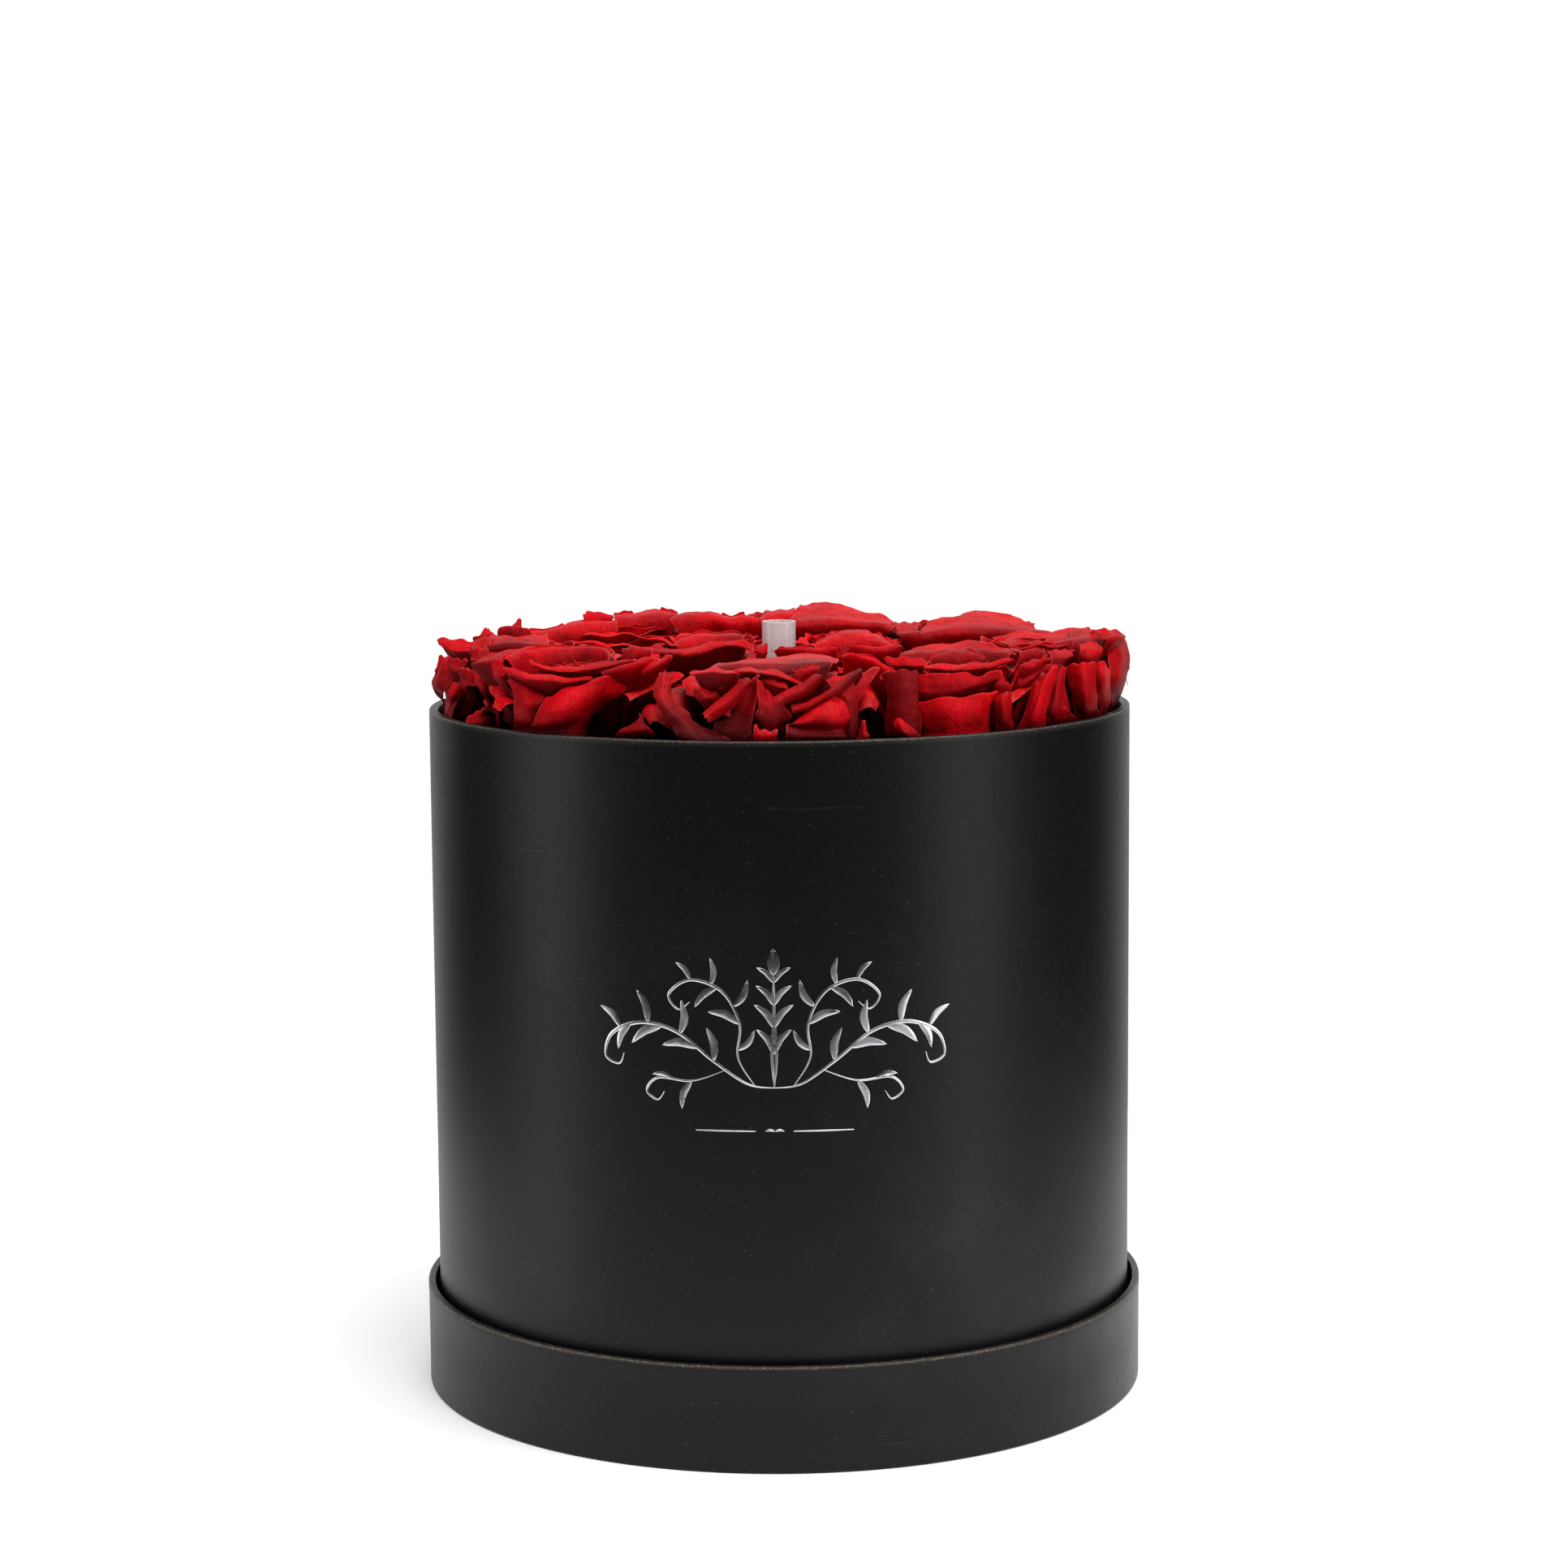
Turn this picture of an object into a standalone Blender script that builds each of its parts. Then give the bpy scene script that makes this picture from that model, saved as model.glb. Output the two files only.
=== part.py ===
"""Round flower box: preserved roses on a lift-out tray over a hidden scent diffuser.

The box stands in its own upturned lid. A foam tray of roses rests on a support sleeve inside the wall.
Under it a battery diffuser is stuck to the box floor, and its clear outlet tube rises between the roses.
Metres, +Z up, origin at the centre of the stand's underside, front of the box towards -Y.
"""

import math

import bmesh
import bpy
from mathutils import Matrix, Vector

# ---------------------------------------------------------------- driving dimensions (metres)
CONTACT = 0.0003  # gap between pieces that touch

BOX_RADIUS = 0.100
BOX_WALL = 0.0026
BOX_FLOOR = 0.0026
RIM_HEIGHT = 0.1949  # top of the box wall above the table

STAND_GAP = 0.0013  # running gap between box and stand wall
STAND_WALL = 0.0020
STAND_PANEL = 0.0020
STAND_HEIGHT = 0.0290

SLEEVE_WALL = 0.0022
TRAY_GAP = 0.0012  # lift-out gap between tray disc and box wall
TRAY_DISC = 0.0030
FOAM_HEIGHT = 0.0450
FOAM_INSET = 0.0015  # foam edge inside the tray disc's edge

TUBE_RADIUS = 0.0048
TUBE_WALL = 0.0009
TUBE_RISE = 0.0235  # top of the tube above the box's rim
GUIDE_GAP = 0.0017  # between outlet tube and its guide bush
GUIDE_WALL = 0.0015
GUIDE_FLANGE = 0.0025
FLANGE_THICKNESS = 0.0010

OUTER_ROSES = 8
OUTER_ROSE_RADIUS = 0.0265
OUTER_ROSE_TURN = math.radians(-92)  # the rose nearest the front
INNER_ROSES = 4
INNER_ROSE_RADIUS = 0.0172
INNER_ROSE_TURN = math.radians(-137)
ROSE_HEIGHT = 0.0450
ROSE_RISE = 0.0212  # tops of the roses above the box's rim
CALYX_HEIGHT = 0.0040
CALYX_RADIUS = 0.0090
STEM_RADIUS = 0.0016
STEM_LENGTH = 0.0320
STEM_CLEARANCE = 0.0004

MODULE_RADIUS = 0.0430
MODULE_WALL = 0.0018
MODULE_HEIGHT = 0.0900
MODULE_BASE_HEIGHT = 0.0100
PAD_THICKNESS = 0.0020
PAD_RADIUS = 0.0360
SCREW_RADIUS = 0.0012
SCREW_HEAD_RADIUS = 0.0022
SCREW_HEAD_HEIGHT = 0.0014
SCREW_SINK = 0.0009  # depth of the screw seats in the port plate
SCREW_LENGTH = 0.0070
POST_RADIUS = 0.0034
POST_LENGTH = 0.0120

BOTTLE_RADIUS = 0.0155
BOTTLE_GLASS = 0.0018
BOTTLE_BODY = 0.0440
BOTTLE_NECK = 0.0110
NECK_RADIUS = 0.0086
BOTTLE_DROP = 0.0070  # free height under the bottle for unscrewing
GASKET_THICKNESS = 0.0012
ATOMISER_RADIUS = 0.0140
SPOUT_RADIUS = 0.0078
THREAD_GAP = 0.0006
CHAMBER_RADIUS = 0.0090
DIP_TUBE_RADIUS = 0.0013
DIP_TUBE_BORE = 0.0006

BATTERY_RADIUS = 0.0092
BATTERY_LENGTH = 0.0650
SIDE_OFFSET = 0.0285  # battery and pump axes from the module's axis
MOTOR_RADIUS = 0.0078
MOTOR_LENGTH = 0.0190
PUMP_SIDE = 0.0190
CRANK_RADIUS = 0.0040
CRANK_SHAFT = 0.0010
HOSE_RADIUS = 0.0020
HOSE_BARB = 0.0011
BOARD_THICKNESS = 0.0016
CHIP_SIZE = (0.0120, 0.0020, 0.0120)

PORT_HEIGHT = 0.0570  # middle of the rear port plate above the table
PORT_PLATE = (0.0140, 0.0016, 0.0380)
PORT_CORE = (0.0104, 0.0200, 0.0240)
PORT_CORE_WALL = 0.0010
PORT_SCREW_SPACING = 0.0310
BUTTON_RADIUS = 0.0035
BUTTON_OFFSET = 0.0060  # button and socket above and below the plate's middle
BUTTON_TRAVEL = 0.0010
SOCKET_SIZE = (0.0086, 0.0074, 0.0032)
LIGHT_RADIUS = 0.0008
CABLE_RADIUS = 0.0016

# ---------------------------------------------------------------- derived levels and radii
BOX_INNER = BOX_RADIUS - BOX_WALL
BOX_BASE = STAND_PANEL + CONTACT
FLOOR_TOP = BOX_BASE + BOX_FLOOR
STAND_INNER = BOX_RADIUS + STAND_GAP
STAND_RADIUS = STAND_INNER + STAND_WALL

SLEEVE_RADIUS = BOX_INNER - CONTACT
SLEEVE_INNER = SLEEVE_RADIUS - SLEEVE_WALL
SLEEVE_BASE = FLOOR_TOP + CONTACT
TRAY_STACK = TRAY_DISC + FOAM_HEIGHT + CALYX_HEIGHT + ROSE_HEIGHT + 3 * CONTACT
SLEEVE_HEIGHT = RIM_HEIGHT + ROSE_RISE - TRAY_STACK - SLEEVE_BASE
TRAY_BASE = SLEEVE_BASE + SLEEVE_HEIGHT + CONTACT
TRAY_RADIUS = BOX_INNER - TRAY_GAP
FOAM_BASE = TRAY_BASE + TRAY_DISC + CONTACT
FOAM_TOP = FOAM_BASE + FOAM_HEIGHT
FOAM_RADIUS = TRAY_RADIUS - FOAM_INSET

GUIDE_BORE = TUBE_RADIUS + GUIDE_GAP
GUIDE_RADIUS = GUIDE_BORE + GUIDE_WALL
GUIDE_HOLE = GUIDE_RADIUS + CONTACT
FLANGE_BASE = FOAM_TOP + CONTACT

CALYX_BASE = FOAM_TOP + CONTACT
OUTER_ROSE_CIRCLE = BOX_INNER - CONTACT - OUTER_ROSE_RADIUS
INNER_ROSE_CIRCLE = OUTER_ROSE_CIRCLE - OUTER_ROSE_RADIUS - CONTACT - INNER_ROSE_RADIUS

PAD_BASE = FLOOR_TOP + CONTACT
MODULE_BASE = PAD_BASE + PAD_THICKNESS + CONTACT
MODULE_FLOOR = MODULE_BASE + MODULE_WALL
MODULE_INNER = MODULE_RADIUS - MODULE_WALL
SHELL_BASE = MODULE_BASE + MODULE_BASE_HEIGHT + CONTACT
SHELL_TOP = MODULE_BASE + MODULE_HEIGHT
CABLE_EXIT = SHELL_BASE + 0.0120
COVER_BASE = SHELL_TOP + CONTACT
COVER_TOP = COVER_BASE + MODULE_WALL
POST_CIRCLE = MODULE_INNER - POST_RADIUS + MODULE_WALL / 2

BOTTLE_BASE = MODULE_FLOOR + BOTTLE_DROP
BOTTLE_MOUTH = BOTTLE_BASE + BOTTLE_BODY + BOTTLE_NECK
GASKET_BASE = BOTTLE_MOUTH + CONTACT
WEB_BASE = GASKET_BASE + GASKET_THICKNESS + CONTACT
WEB_TOP = WEB_BASE + 0.0025
SOCKET_BASE = COVER_BASE - 0.0060
TUBE_SHELF = SOCKET_BASE + 0.0020
TUBE_BASE = TUBE_SHELF + CONTACT
TUBE_TOP = RIM_HEIGHT + TUBE_RISE
SPOUT_TOP = COVER_TOP + 0.0060

PORT_PLATE_INNER = BOX_RADIUS + CONTACT
PORT_FACE = PORT_PLATE_INNER + PORT_PLATE[1]
PORT_CORE_FRONT = PORT_PLATE_INNER - CONTACT
PORT_CORE_BACK = PORT_CORE_FRONT - PORT_CORE[1]
BUTTON_HEIGHT = PORT_HEIGHT + BUTTON_OFFSET
SOCKET_HEIGHT = PORT_HEIGHT - BUTTON_OFFSET
CLAMP_FRONT = SLEEVE_INNER - 0.0010
CLAMP_THICKNESS = 0.0020

LARGE_STEPS = 64
MEDIUM_STEPS = 28
SMALL_STEPS = 16
TINY_STEPS = 10

X_AXIS = Vector((1, 0, 0))
Y_AXIS = Vector((0, 1, 0))
Z_AXIS = Vector((0, 0, 1))


# ---------------------------------------------------------------- scene and materials
def clear_scene():
    """Removes every object, so the model starts from an empty scene."""
    for obj in list(bpy.data.objects):
        bpy.data.objects.remove(obj)


def finish(name, colour, roughness, metallic=0.0, alpha=1.0):
    """A Principled material of that colour."""
    made = bpy.data.materials.new(name)
    made.use_nodes = True
    shader = made.node_tree.nodes["Principled BSDF"]
    shader.inputs["Base Color"].default_value = (*colour, 1.0)
    shader.inputs["Roughness"].default_value = roughness
    shader.inputs["Metallic"].default_value = metallic
    shader.inputs["Alpha"].default_value = alpha
    made.diffuse_color = (*colour, alpha)
    return made


def make_finishes():
    """Every finish of the object, by name."""
    return {
        "wrap": finish("wrap_paper", (0.012, 0.012, 0.013), 0.45),
        "board": finish("grey_board", (0.12, 0.11, 0.10), 0.9),
        "foam": finish("floral_foam", (0.02, 0.03, 0.02), 0.95),
        "petal": finish("rose_petal", (0.42, 0.004, 0.010), 0.6),
        "shell": finish("black_plastic", (0.02, 0.02, 0.022), 0.5),
        "white": finish("white_plastic", (0.75, 0.75, 0.73), 0.4),
        "clear": finish("clear_tube", (0.85, 0.87, 0.88), 0.1, alpha=0.35),
        "glass": finish("amber_glass", (0.25, 0.09, 0.02), 0.05, alpha=0.6),
        "rubber": finish("silicone", (0.6, 0.6, 0.58), 0.6),
        "steel": finish("steel", (0.6, 0.6, 0.62), 0.3, metallic=1.0),
        "brass": finish("brass", (0.7, 0.5, 0.2), 0.3, metallic=1.0),
        "circuit": finish("circuit_board", (0.01, 0.12, 0.04), 0.5),
        "cell": finish("battery_wrap", (0.02, 0.15, 0.35), 0.4),
        "cable": finish("cable_jacket", (0.03, 0.03, 0.03), 0.5),
    }


# ---------------------------------------------------------------- shape tools
def body_pivot(name, at=(0, 0, 0), parent=None):
    """An empty that holds the pieces of one moving body, on its joint's axis."""
    empty = bpy.data.objects.new(name, None)
    bpy.context.scene.collection.objects.link(empty)
    empty.parent = parent
    empty.location = Vector(at) - (parent.location if parent else Vector())
    return empty


def add(name, bm, material, parent, at=(0, 0, 0)):
    """Turns a bmesh into a named object at that place under its body's pivot."""
    bmesh.ops.recalc_face_normals(bm, faces=bm.faces)
    mesh = bpy.data.meshes.new(name)
    bm.to_mesh(mesh)
    bm.free()
    mesh.shade_smooth()
    mesh.set_sharp_from_angle(angle=math.radians(35))
    obj = bpy.data.objects.new(name, mesh)
    bpy.context.scene.collection.objects.link(obj)
    if material is not None:
        mesh.materials.append(material)
    if parent is not None:
        obj.parent = parent
        obj.location = Vector(at) - world_place(parent)
    else:
        obj.location = at
    return obj


def world_place(pivot):
    """The world position of a pivot, whose parents only shift it."""
    place = Vector()
    while pivot is not None:
        place += pivot.location
        pivot = pivot.parent
    return place


def turn_into(bm, outline, steps, at=(0, 0, 0)):
    """Adds a body turned about the Z axis through at. Outline points are (radius, height).

    An outline that starts and ends on the axis makes a full body, any other is closed and makes a ring.
    """
    axis = Vector(at)
    verts = [bm.verts.new(axis + Vector((radius, 0, height))) for radius, height in outline]
    edges = [bm.edges.new(pair) for pair in zip(verts, verts[1:])]
    if outline[0][0] > 0:
        edges.append(bm.edges.new((verts[-1], verts[0])))
    bmesh.ops.spin(
        bm, geom=verts + edges, cent=axis, axis=Z_AXIS, angle=math.tau, steps=steps, use_merge=True
    )
    bmesh.ops.remove_doubles(bm, verts=bm.verts, dist=1e-6)


def turned(name, outline, steps, material, parent, at=(0, 0, 0)):
    """A piece turned about the vertical axis through at."""
    bm = bmesh.new()
    turn_into(bm, outline, steps)
    return add(name, bm, material, parent, at)


def disc(radius, low, high):
    """The outline of a full disc."""
    return [(0, low), (radius, low), (radius, high), (0, high)]


def ring(inner, outer, low, high):
    """The outline of a plain ring."""
    return [(inner, low), (outer, low), (outer, high), (inner, high)]


def block_into(bm, size, centre):
    """Adds a plain block."""
    placed = Matrix.Translation(Vector(centre)) @ Matrix.Diagonal((*size, 1.0))
    bmesh.ops.create_cube(bm, size=1.0, matrix=placed)


def block(name, size, centre, material, parent):
    """A rectangular block about its own centre."""
    bm = bmesh.new()
    block_into(bm, size, (0, 0, 0))
    return add(name, bm, material, parent, centre)


def rod_into(bm, radius, start, end, steps):
    """Adds a round bar from start to end."""
    start, end = Vector(start), Vector(end)
    along = end - start
    turn = along.to_track_quat("Z", "Y").to_matrix().to_4x4()
    bmesh.ops.create_cone(
        bm,
        cap_ends=True,
        segments=steps,
        radius1=radius,
        radius2=radius,
        depth=along.length,
        matrix=Matrix.Translation((start + end) / 2) @ turn,
    )


def rod(name, radius, start, end, steps, material, parent):
    """A round bar, with its origin at its start."""
    bm = bmesh.new()
    rod_into(bm, radius, (0, 0, 0), Vector(end) - Vector(start), steps)
    return add(name, bm, material, parent, start)


def cut(piece, *cutters):
    """Cuts each cutter out of a piece. Cutters are helpers, so they never show."""
    for cutter in cutters:
        cutter.hide_render = True
        cutter.display_type = "WIRE"
        change = piece.modifiers.new(cutter.name, "BOOLEAN")
        change.operation = "DIFFERENCE"
        change.object = cutter


def rod_cutter(radius, start, end, steps=TINY_STEPS):
    """A round cutter."""
    return rod("cutter_round", radius, start, end, steps, None, None)


def block_cutter(size, centre):
    """A rectangular cutter."""
    return block("cutter_block", size, centre, None, None)


def pipe(name, radius, points, material, parent):
    """A flexible tube along a smooth curve through points, as a curve object with filled caps."""
    curve = bpy.data.curves.new(name, "CURVE")
    curve.dimensions = "3D"
    curve.bevel_depth = radius
    curve.bevel_resolution = 2
    curve.use_fill_caps = True
    smooth = smooth_path([Vector(p) for p in points], spacing=radius * 5)
    spline = curve.splines.new("POLY")
    spline.points.add(len(smooth) - 1)
    for target, point in zip(spline.points, smooth):
        target.co = (*point, 1.0)
    obj = bpy.data.objects.new(name, curve)
    bpy.context.scene.collection.objects.link(obj)
    curve.materials.append(material)
    obj.parent = parent
    obj.location = -world_place(parent)
    return obj


def smooth_path(points, spacing):
    """Points of a Catmull-Rom curve through the given ones, about spacing apart."""
    ends = [points[0] * 2 - points[1], *points, points[-1] * 2 - points[-2]]
    made = [points[0]]
    for a, b, c, d in zip(ends, ends[1:], ends[2:], ends[3:]):
        count = max(1, round((c - b).length / spacing))
        for step in range(1, count + 1):
            t = step / count
            made.append(
                0.5
                * (
                    2 * b
                    + (c - a) * t
                    + (2 * a - 5 * b + 4 * c - d) * t * t
                    + (3 * b - a - 3 * c + d) * t**3
                )
            )
    return made


def around(radius, angle, height=0.0):
    """The point at that radius and angle about the box's axis."""
    return Vector((radius * math.cos(angle), radius * math.sin(angle), height))


# ---------------------------------------------------------------- stand and box
def make_stand(finishes, stand):
    """The upturned lid that the box stands in: a panel and a low wall."""
    panel_radius = STAND_INNER - CONTACT
    turned("stand_panel", disc(panel_radius, 0, STAND_PANEL), LARGE_STEPS, finishes["wrap"], stand)
    wall = ring(STAND_INNER, STAND_RADIUS, 0, STAND_HEIGHT)
    turned("stand_wall", wall, LARGE_STEPS, finishes["wrap"], stand)


def make_box(finishes, box):
    """The box's wall with its rear port hole, its floor and the sleeve that carries the tray."""
    wall = ring(BOX_INNER, BOX_RADIUS, BOX_BASE, RIM_HEIGHT)
    box_wall = turned("box_wall", wall, LARGE_STEPS, finishes["wrap"], box)
    floor_radius = BOX_INNER - CONTACT
    turned("box_floor", disc(floor_radius, BOX_BASE, FLOOR_TOP), LARGE_STEPS, finishes["board"], box)
    sleeve = ring(SLEEVE_INNER, SLEEVE_RADIUS, SLEEVE_BASE, SLEEVE_BASE + SLEEVE_HEIGHT)
    support_sleeve = turned("support_sleeve", sleeve, LARGE_STEPS, finishes["board"], box)
    for piece in (box_wall, support_sleeve):
        cut(piece, *port_cutters())


def port_cutters():
    """The hole for the rear port's core and its two screw holes, through wall and sleeve."""
    depth = BOX_WALL + SLEEVE_WALL + STAND_GAP
    middle = BOX_RADIUS - depth / 2
    core = (PORT_CORE[0] + 2 * CONTACT, 2 * depth, PORT_CORE[2] + 2 * CONTACT)
    cutters = [block_cutter(core, (0, middle, PORT_HEIGHT))]
    for height in port_screw_heights():
        start, end = (0, middle - depth, height), (0, middle + depth, height)
        cutters.append(rod_cutter(SCREW_RADIUS + CONTACT, start, end))
    return cutters


def port_screw_heights():
    """The heights of the port's two screws."""
    return PORT_HEIGHT - PORT_SCREW_SPACING / 2, PORT_HEIGHT + PORT_SCREW_SPACING / 2


# ---------------------------------------------------------------- rear port
def make_port(finishes, box, button):
    """The plate, core, board, socket, switch, light, clamp and screws of the rear port, and its button."""
    plate = block(
        "port_plate",
        PORT_PLATE,
        (0, PORT_PLATE_INNER + PORT_PLATE[1] / 2, PORT_HEIGHT),
        finishes["shell"],
        box,
    )
    cut(plate, *plate_cutters())
    make_port_core(finishes, box)
    make_port_electrics(finishes, box)
    make_port_fixings(finishes, box)
    button_back = switch_front() + BUTTON_TRAVEL + CONTACT
    start, end = (0, button_back, BUTTON_HEIGHT), (0, PORT_FACE - CONTACT, BUTTON_HEIGHT)
    rod("power_button", BUTTON_RADIUS, start, end, SMALL_STEPS, finishes["steel"], button)


def plate_cutters():
    """The button, socket, light and countersunk screw holes of the port plate."""
    back, front = PORT_PLATE_INNER - PORT_PLATE[1], PORT_FACE + PORT_PLATE[1]
    cutters = [
        rod_cutter(BUTTON_RADIUS + CONTACT, (0, back, BUTTON_HEIGHT), (0, front, BUTTON_HEIGHT), SMALL_STEPS),
        rod_cutter(LIGHT_RADIUS + CONTACT, (0, back, PORT_HEIGHT), (0, front, PORT_HEIGHT)),
        block_cutter(
            (SOCKET_SIZE[0] + 2 * CONTACT, front - back, SOCKET_SIZE[2] + 2 * CONTACT),
            (0, (back + front) / 2, SOCKET_HEIGHT),
        ),
    ]
    for height in port_screw_heights():
        cutters.append(rod_cutter(SCREW_RADIUS + CONTACT, (0, back, height), (0, front, height)))
        head = SCREW_HEAD_RADIUS + CONTACT
        cutters.append(rod_cutter(head, (0, PORT_FACE - SCREW_SINK, height), (0, front, height)))
    return cutters


def make_port_core(finishes, box):
    """The rectangular tube behind the plate that holds the port's electrics."""
    middle = (PORT_CORE_FRONT + PORT_CORE_BACK) / 2
    core = block("port_core", PORT_CORE, (0, middle, PORT_HEIGHT), finishes["shell"], box)
    inside = (
        PORT_CORE[0] - 2 * PORT_CORE_WALL,
        PORT_CORE[1] * 2,
        PORT_CORE[2] - 2 * PORT_CORE_WALL,
    )
    cut(core, block_cutter(inside, (0, middle, PORT_HEIGHT)))


def port_board_front():
    """Where the port board's parts stand on it."""
    return PORT_CORE_BACK + 0.0030 + BOARD_THICKNESS


def switch_front():
    """The face of the switch that the button presses."""
    return port_board_front() + 0.0050


def make_port_electrics(finishes, box):
    """The small board behind the port with its socket, switch and light guide."""
    inside = PORT_CORE[0] - 2 * PORT_CORE_WALL - 2 * CONTACT
    tall = PORT_CORE[2] - 2 * PORT_CORE_WALL - 2 * CONTACT
    front = port_board_front()
    board = (inside, BOARD_THICKNESS, tall)
    block("port_board", board, (0, front - BOARD_THICKNESS / 2, PORT_HEIGHT), finishes["circuit"], box)
    base = front + CONTACT
    length = switch_front() - base
    switch = (0.0060, length, 0.0060)
    block("button_switch", switch, (0, base + length / 2, BUTTON_HEIGHT), finishes["steel"], box)
    mouth = PORT_FACE - CONTACT
    socket_length = mouth - base
    socket = block(
        "charge_socket",
        (SOCKET_SIZE[0] - 2 * PORT_CORE_WALL, socket_length, SOCKET_SIZE[2]),
        (0, base + socket_length / 2, SOCKET_HEIGHT),
        finishes["steel"],
        box,
    )
    hollow = (SOCKET_SIZE[0] - 2 * PORT_CORE_WALL - 0.0010, SOCKET_SIZE[1] * 2, SOCKET_SIZE[2] - 0.0010)
    cut(socket, block_cutter(hollow, (0, mouth, SOCKET_HEIGHT)))
    start, end = (0, base, PORT_HEIGHT), (0, PORT_FACE - CONTACT, PORT_HEIGHT)
    rod("status_light", LIGHT_RADIUS, start, end, TINY_STEPS, finishes["clear"], box)


def make_port_fixings(finishes, box):
    """The clamp inside the sleeve and the two screws that pull the plate against the wall."""
    clamp_size = (PORT_PLATE[0], CLAMP_THICKNESS, PORT_PLATE[2])
    middle = CLAMP_FRONT - CLAMP_THICKNESS / 2
    clamp = block("port_clamp", clamp_size, (0, middle, PORT_HEIGHT), finishes["shell"], box)
    core_hole = (PORT_CORE[0] + 2 * CONTACT, 4 * CLAMP_THICKNESS, PORT_CORE[2] + 2 * CONTACT)
    cut(clamp, block_cutter(core_hole, (0, middle, PORT_HEIGHT)))
    seat = PORT_FACE - SCREW_SINK
    length = seat - (CLAMP_FRONT - 2 * CLAMP_THICKNESS)
    for name, height in zip(("port_screw_low", "port_screw_high"), port_screw_heights()):
        screw = turned(name, screw_outline(length), TINY_STEPS, finishes["steel"], box, (0, seat, height))
        screw.rotation_euler.x = math.radians(-90)
        start, end = (0, middle - 0.01, height), (0, middle + 0.01, height)
        cut(clamp, rod_cutter(SCREW_RADIUS + CONTACT, start, end))


# ---------------------------------------------------------------- diffuser
def make_module_case(finishes, box):
    """The diffuser's base, shell, cover, cover screws and the sticky pad under it."""
    spigot = MODULE_INNER - CONTACT
    base = [
        (0, MODULE_BASE),
        (MODULE_RADIUS, MODULE_BASE),
        (MODULE_RADIUS, SHELL_BASE - CONTACT),
        (spigot, SHELL_BASE - CONTACT),
        (spigot, SHELL_BASE + 0.0030),
        (spigot - MODULE_WALL, SHELL_BASE + 0.0030),
        (spigot - MODULE_WALL, MODULE_FLOOR),
        (0, MODULE_FLOOR),
    ]
    turned("diffuser_base", base, MEDIUM_STEPS, finishes["shell"], box)
    make_module_shell(finishes, box)
    make_module_cover(finishes, box)
    pad = disc(PAD_RADIUS, PAD_BASE, PAD_BASE + PAD_THICKNESS)
    turned("floor_pad", pad, MEDIUM_STEPS, finishes["rubber"], box)


def screw_outline(length):
    """The outline of a screw that points down, with its head resting at height 0."""
    return [
        (0, -length),
        (SCREW_RADIUS, -length),
        (SCREW_RADIUS, CONTACT),
        (SCREW_HEAD_RADIUS, CONTACT),
        (SCREW_HEAD_RADIUS, CONTACT + SCREW_HEAD_HEIGHT),
        (0, CONTACT + SCREW_HEAD_HEIGHT),
    ]


def cover_screw_places(height):
    """The three cover screws' points at that height."""
    return [around(POST_CIRCLE, math.radians(60 + 120 * step), height) for step in range(3)]


def make_module_shell(finishes, box):
    """The diffuser's round side wall with three screw posts, air slots and the cable's hole."""
    bm = bmesh.new()
    turn_into(bm, ring(MODULE_INNER, MODULE_RADIUS, SHELL_BASE, SHELL_TOP), MEDIUM_STEPS)
    shell = add("diffuser_shell", bm, finishes["shell"], box)
    for place in cover_screw_places(SHELL_TOP - POST_LENGTH):
        post = rod_cutter(POST_RADIUS, place, place + Z_AXIS * (POST_LENGTH - CONTACT))
        post.hide_render = True
        post.display_type = "WIRE"
        change = shell.modifiers.new("post", "BOOLEAN")
        change.operation = "UNION"
        change.object = post
        cut(shell, rod_cutter(SCREW_RADIUS + CONTACT, place + Z_AXIS * 0.004, place + Z_AXIS * 0.020))
    for step in range(5):
        slot = (0.0020, MODULE_WALL * 6, 0.0140)
        cutter = block_cutter(slot, (0.0060 * (step - 2), -MODULE_RADIUS, SHELL_BASE + 0.0150))
        cut(shell, cutter)
    start, end = (0, MODULE_INNER - 0.0060, CABLE_EXIT), (0, MODULE_RADIUS + 0.0060, CABLE_EXIT)
    cut(shell, rod_cutter(CABLE_RADIUS + CONTACT, start, end))


def make_module_cover(finishes, box):
    """The diffuser's lid with its spout hole, and the three screws that hold it."""
    hole = SPOUT_RADIUS + CONTACT
    cover = turned(
        "diffuser_cover",
        ring(hole, MODULE_RADIUS, COVER_BASE, COVER_TOP),
        MEDIUM_STEPS,
        finishes["shell"],
        box,
    )
    for number, place in enumerate(cover_screw_places(COVER_TOP), start=1):
        cut(cover, rod_cutter(SCREW_RADIUS + CONTACT, place - Z_AXIS * 0.01, place + Z_AXIS * 0.01))
        outline = screw_outline(SCREW_LENGTH)
        turned(f"cover_screw_{number}", outline, TINY_STEPS, finishes["steel"], box, place)


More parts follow.
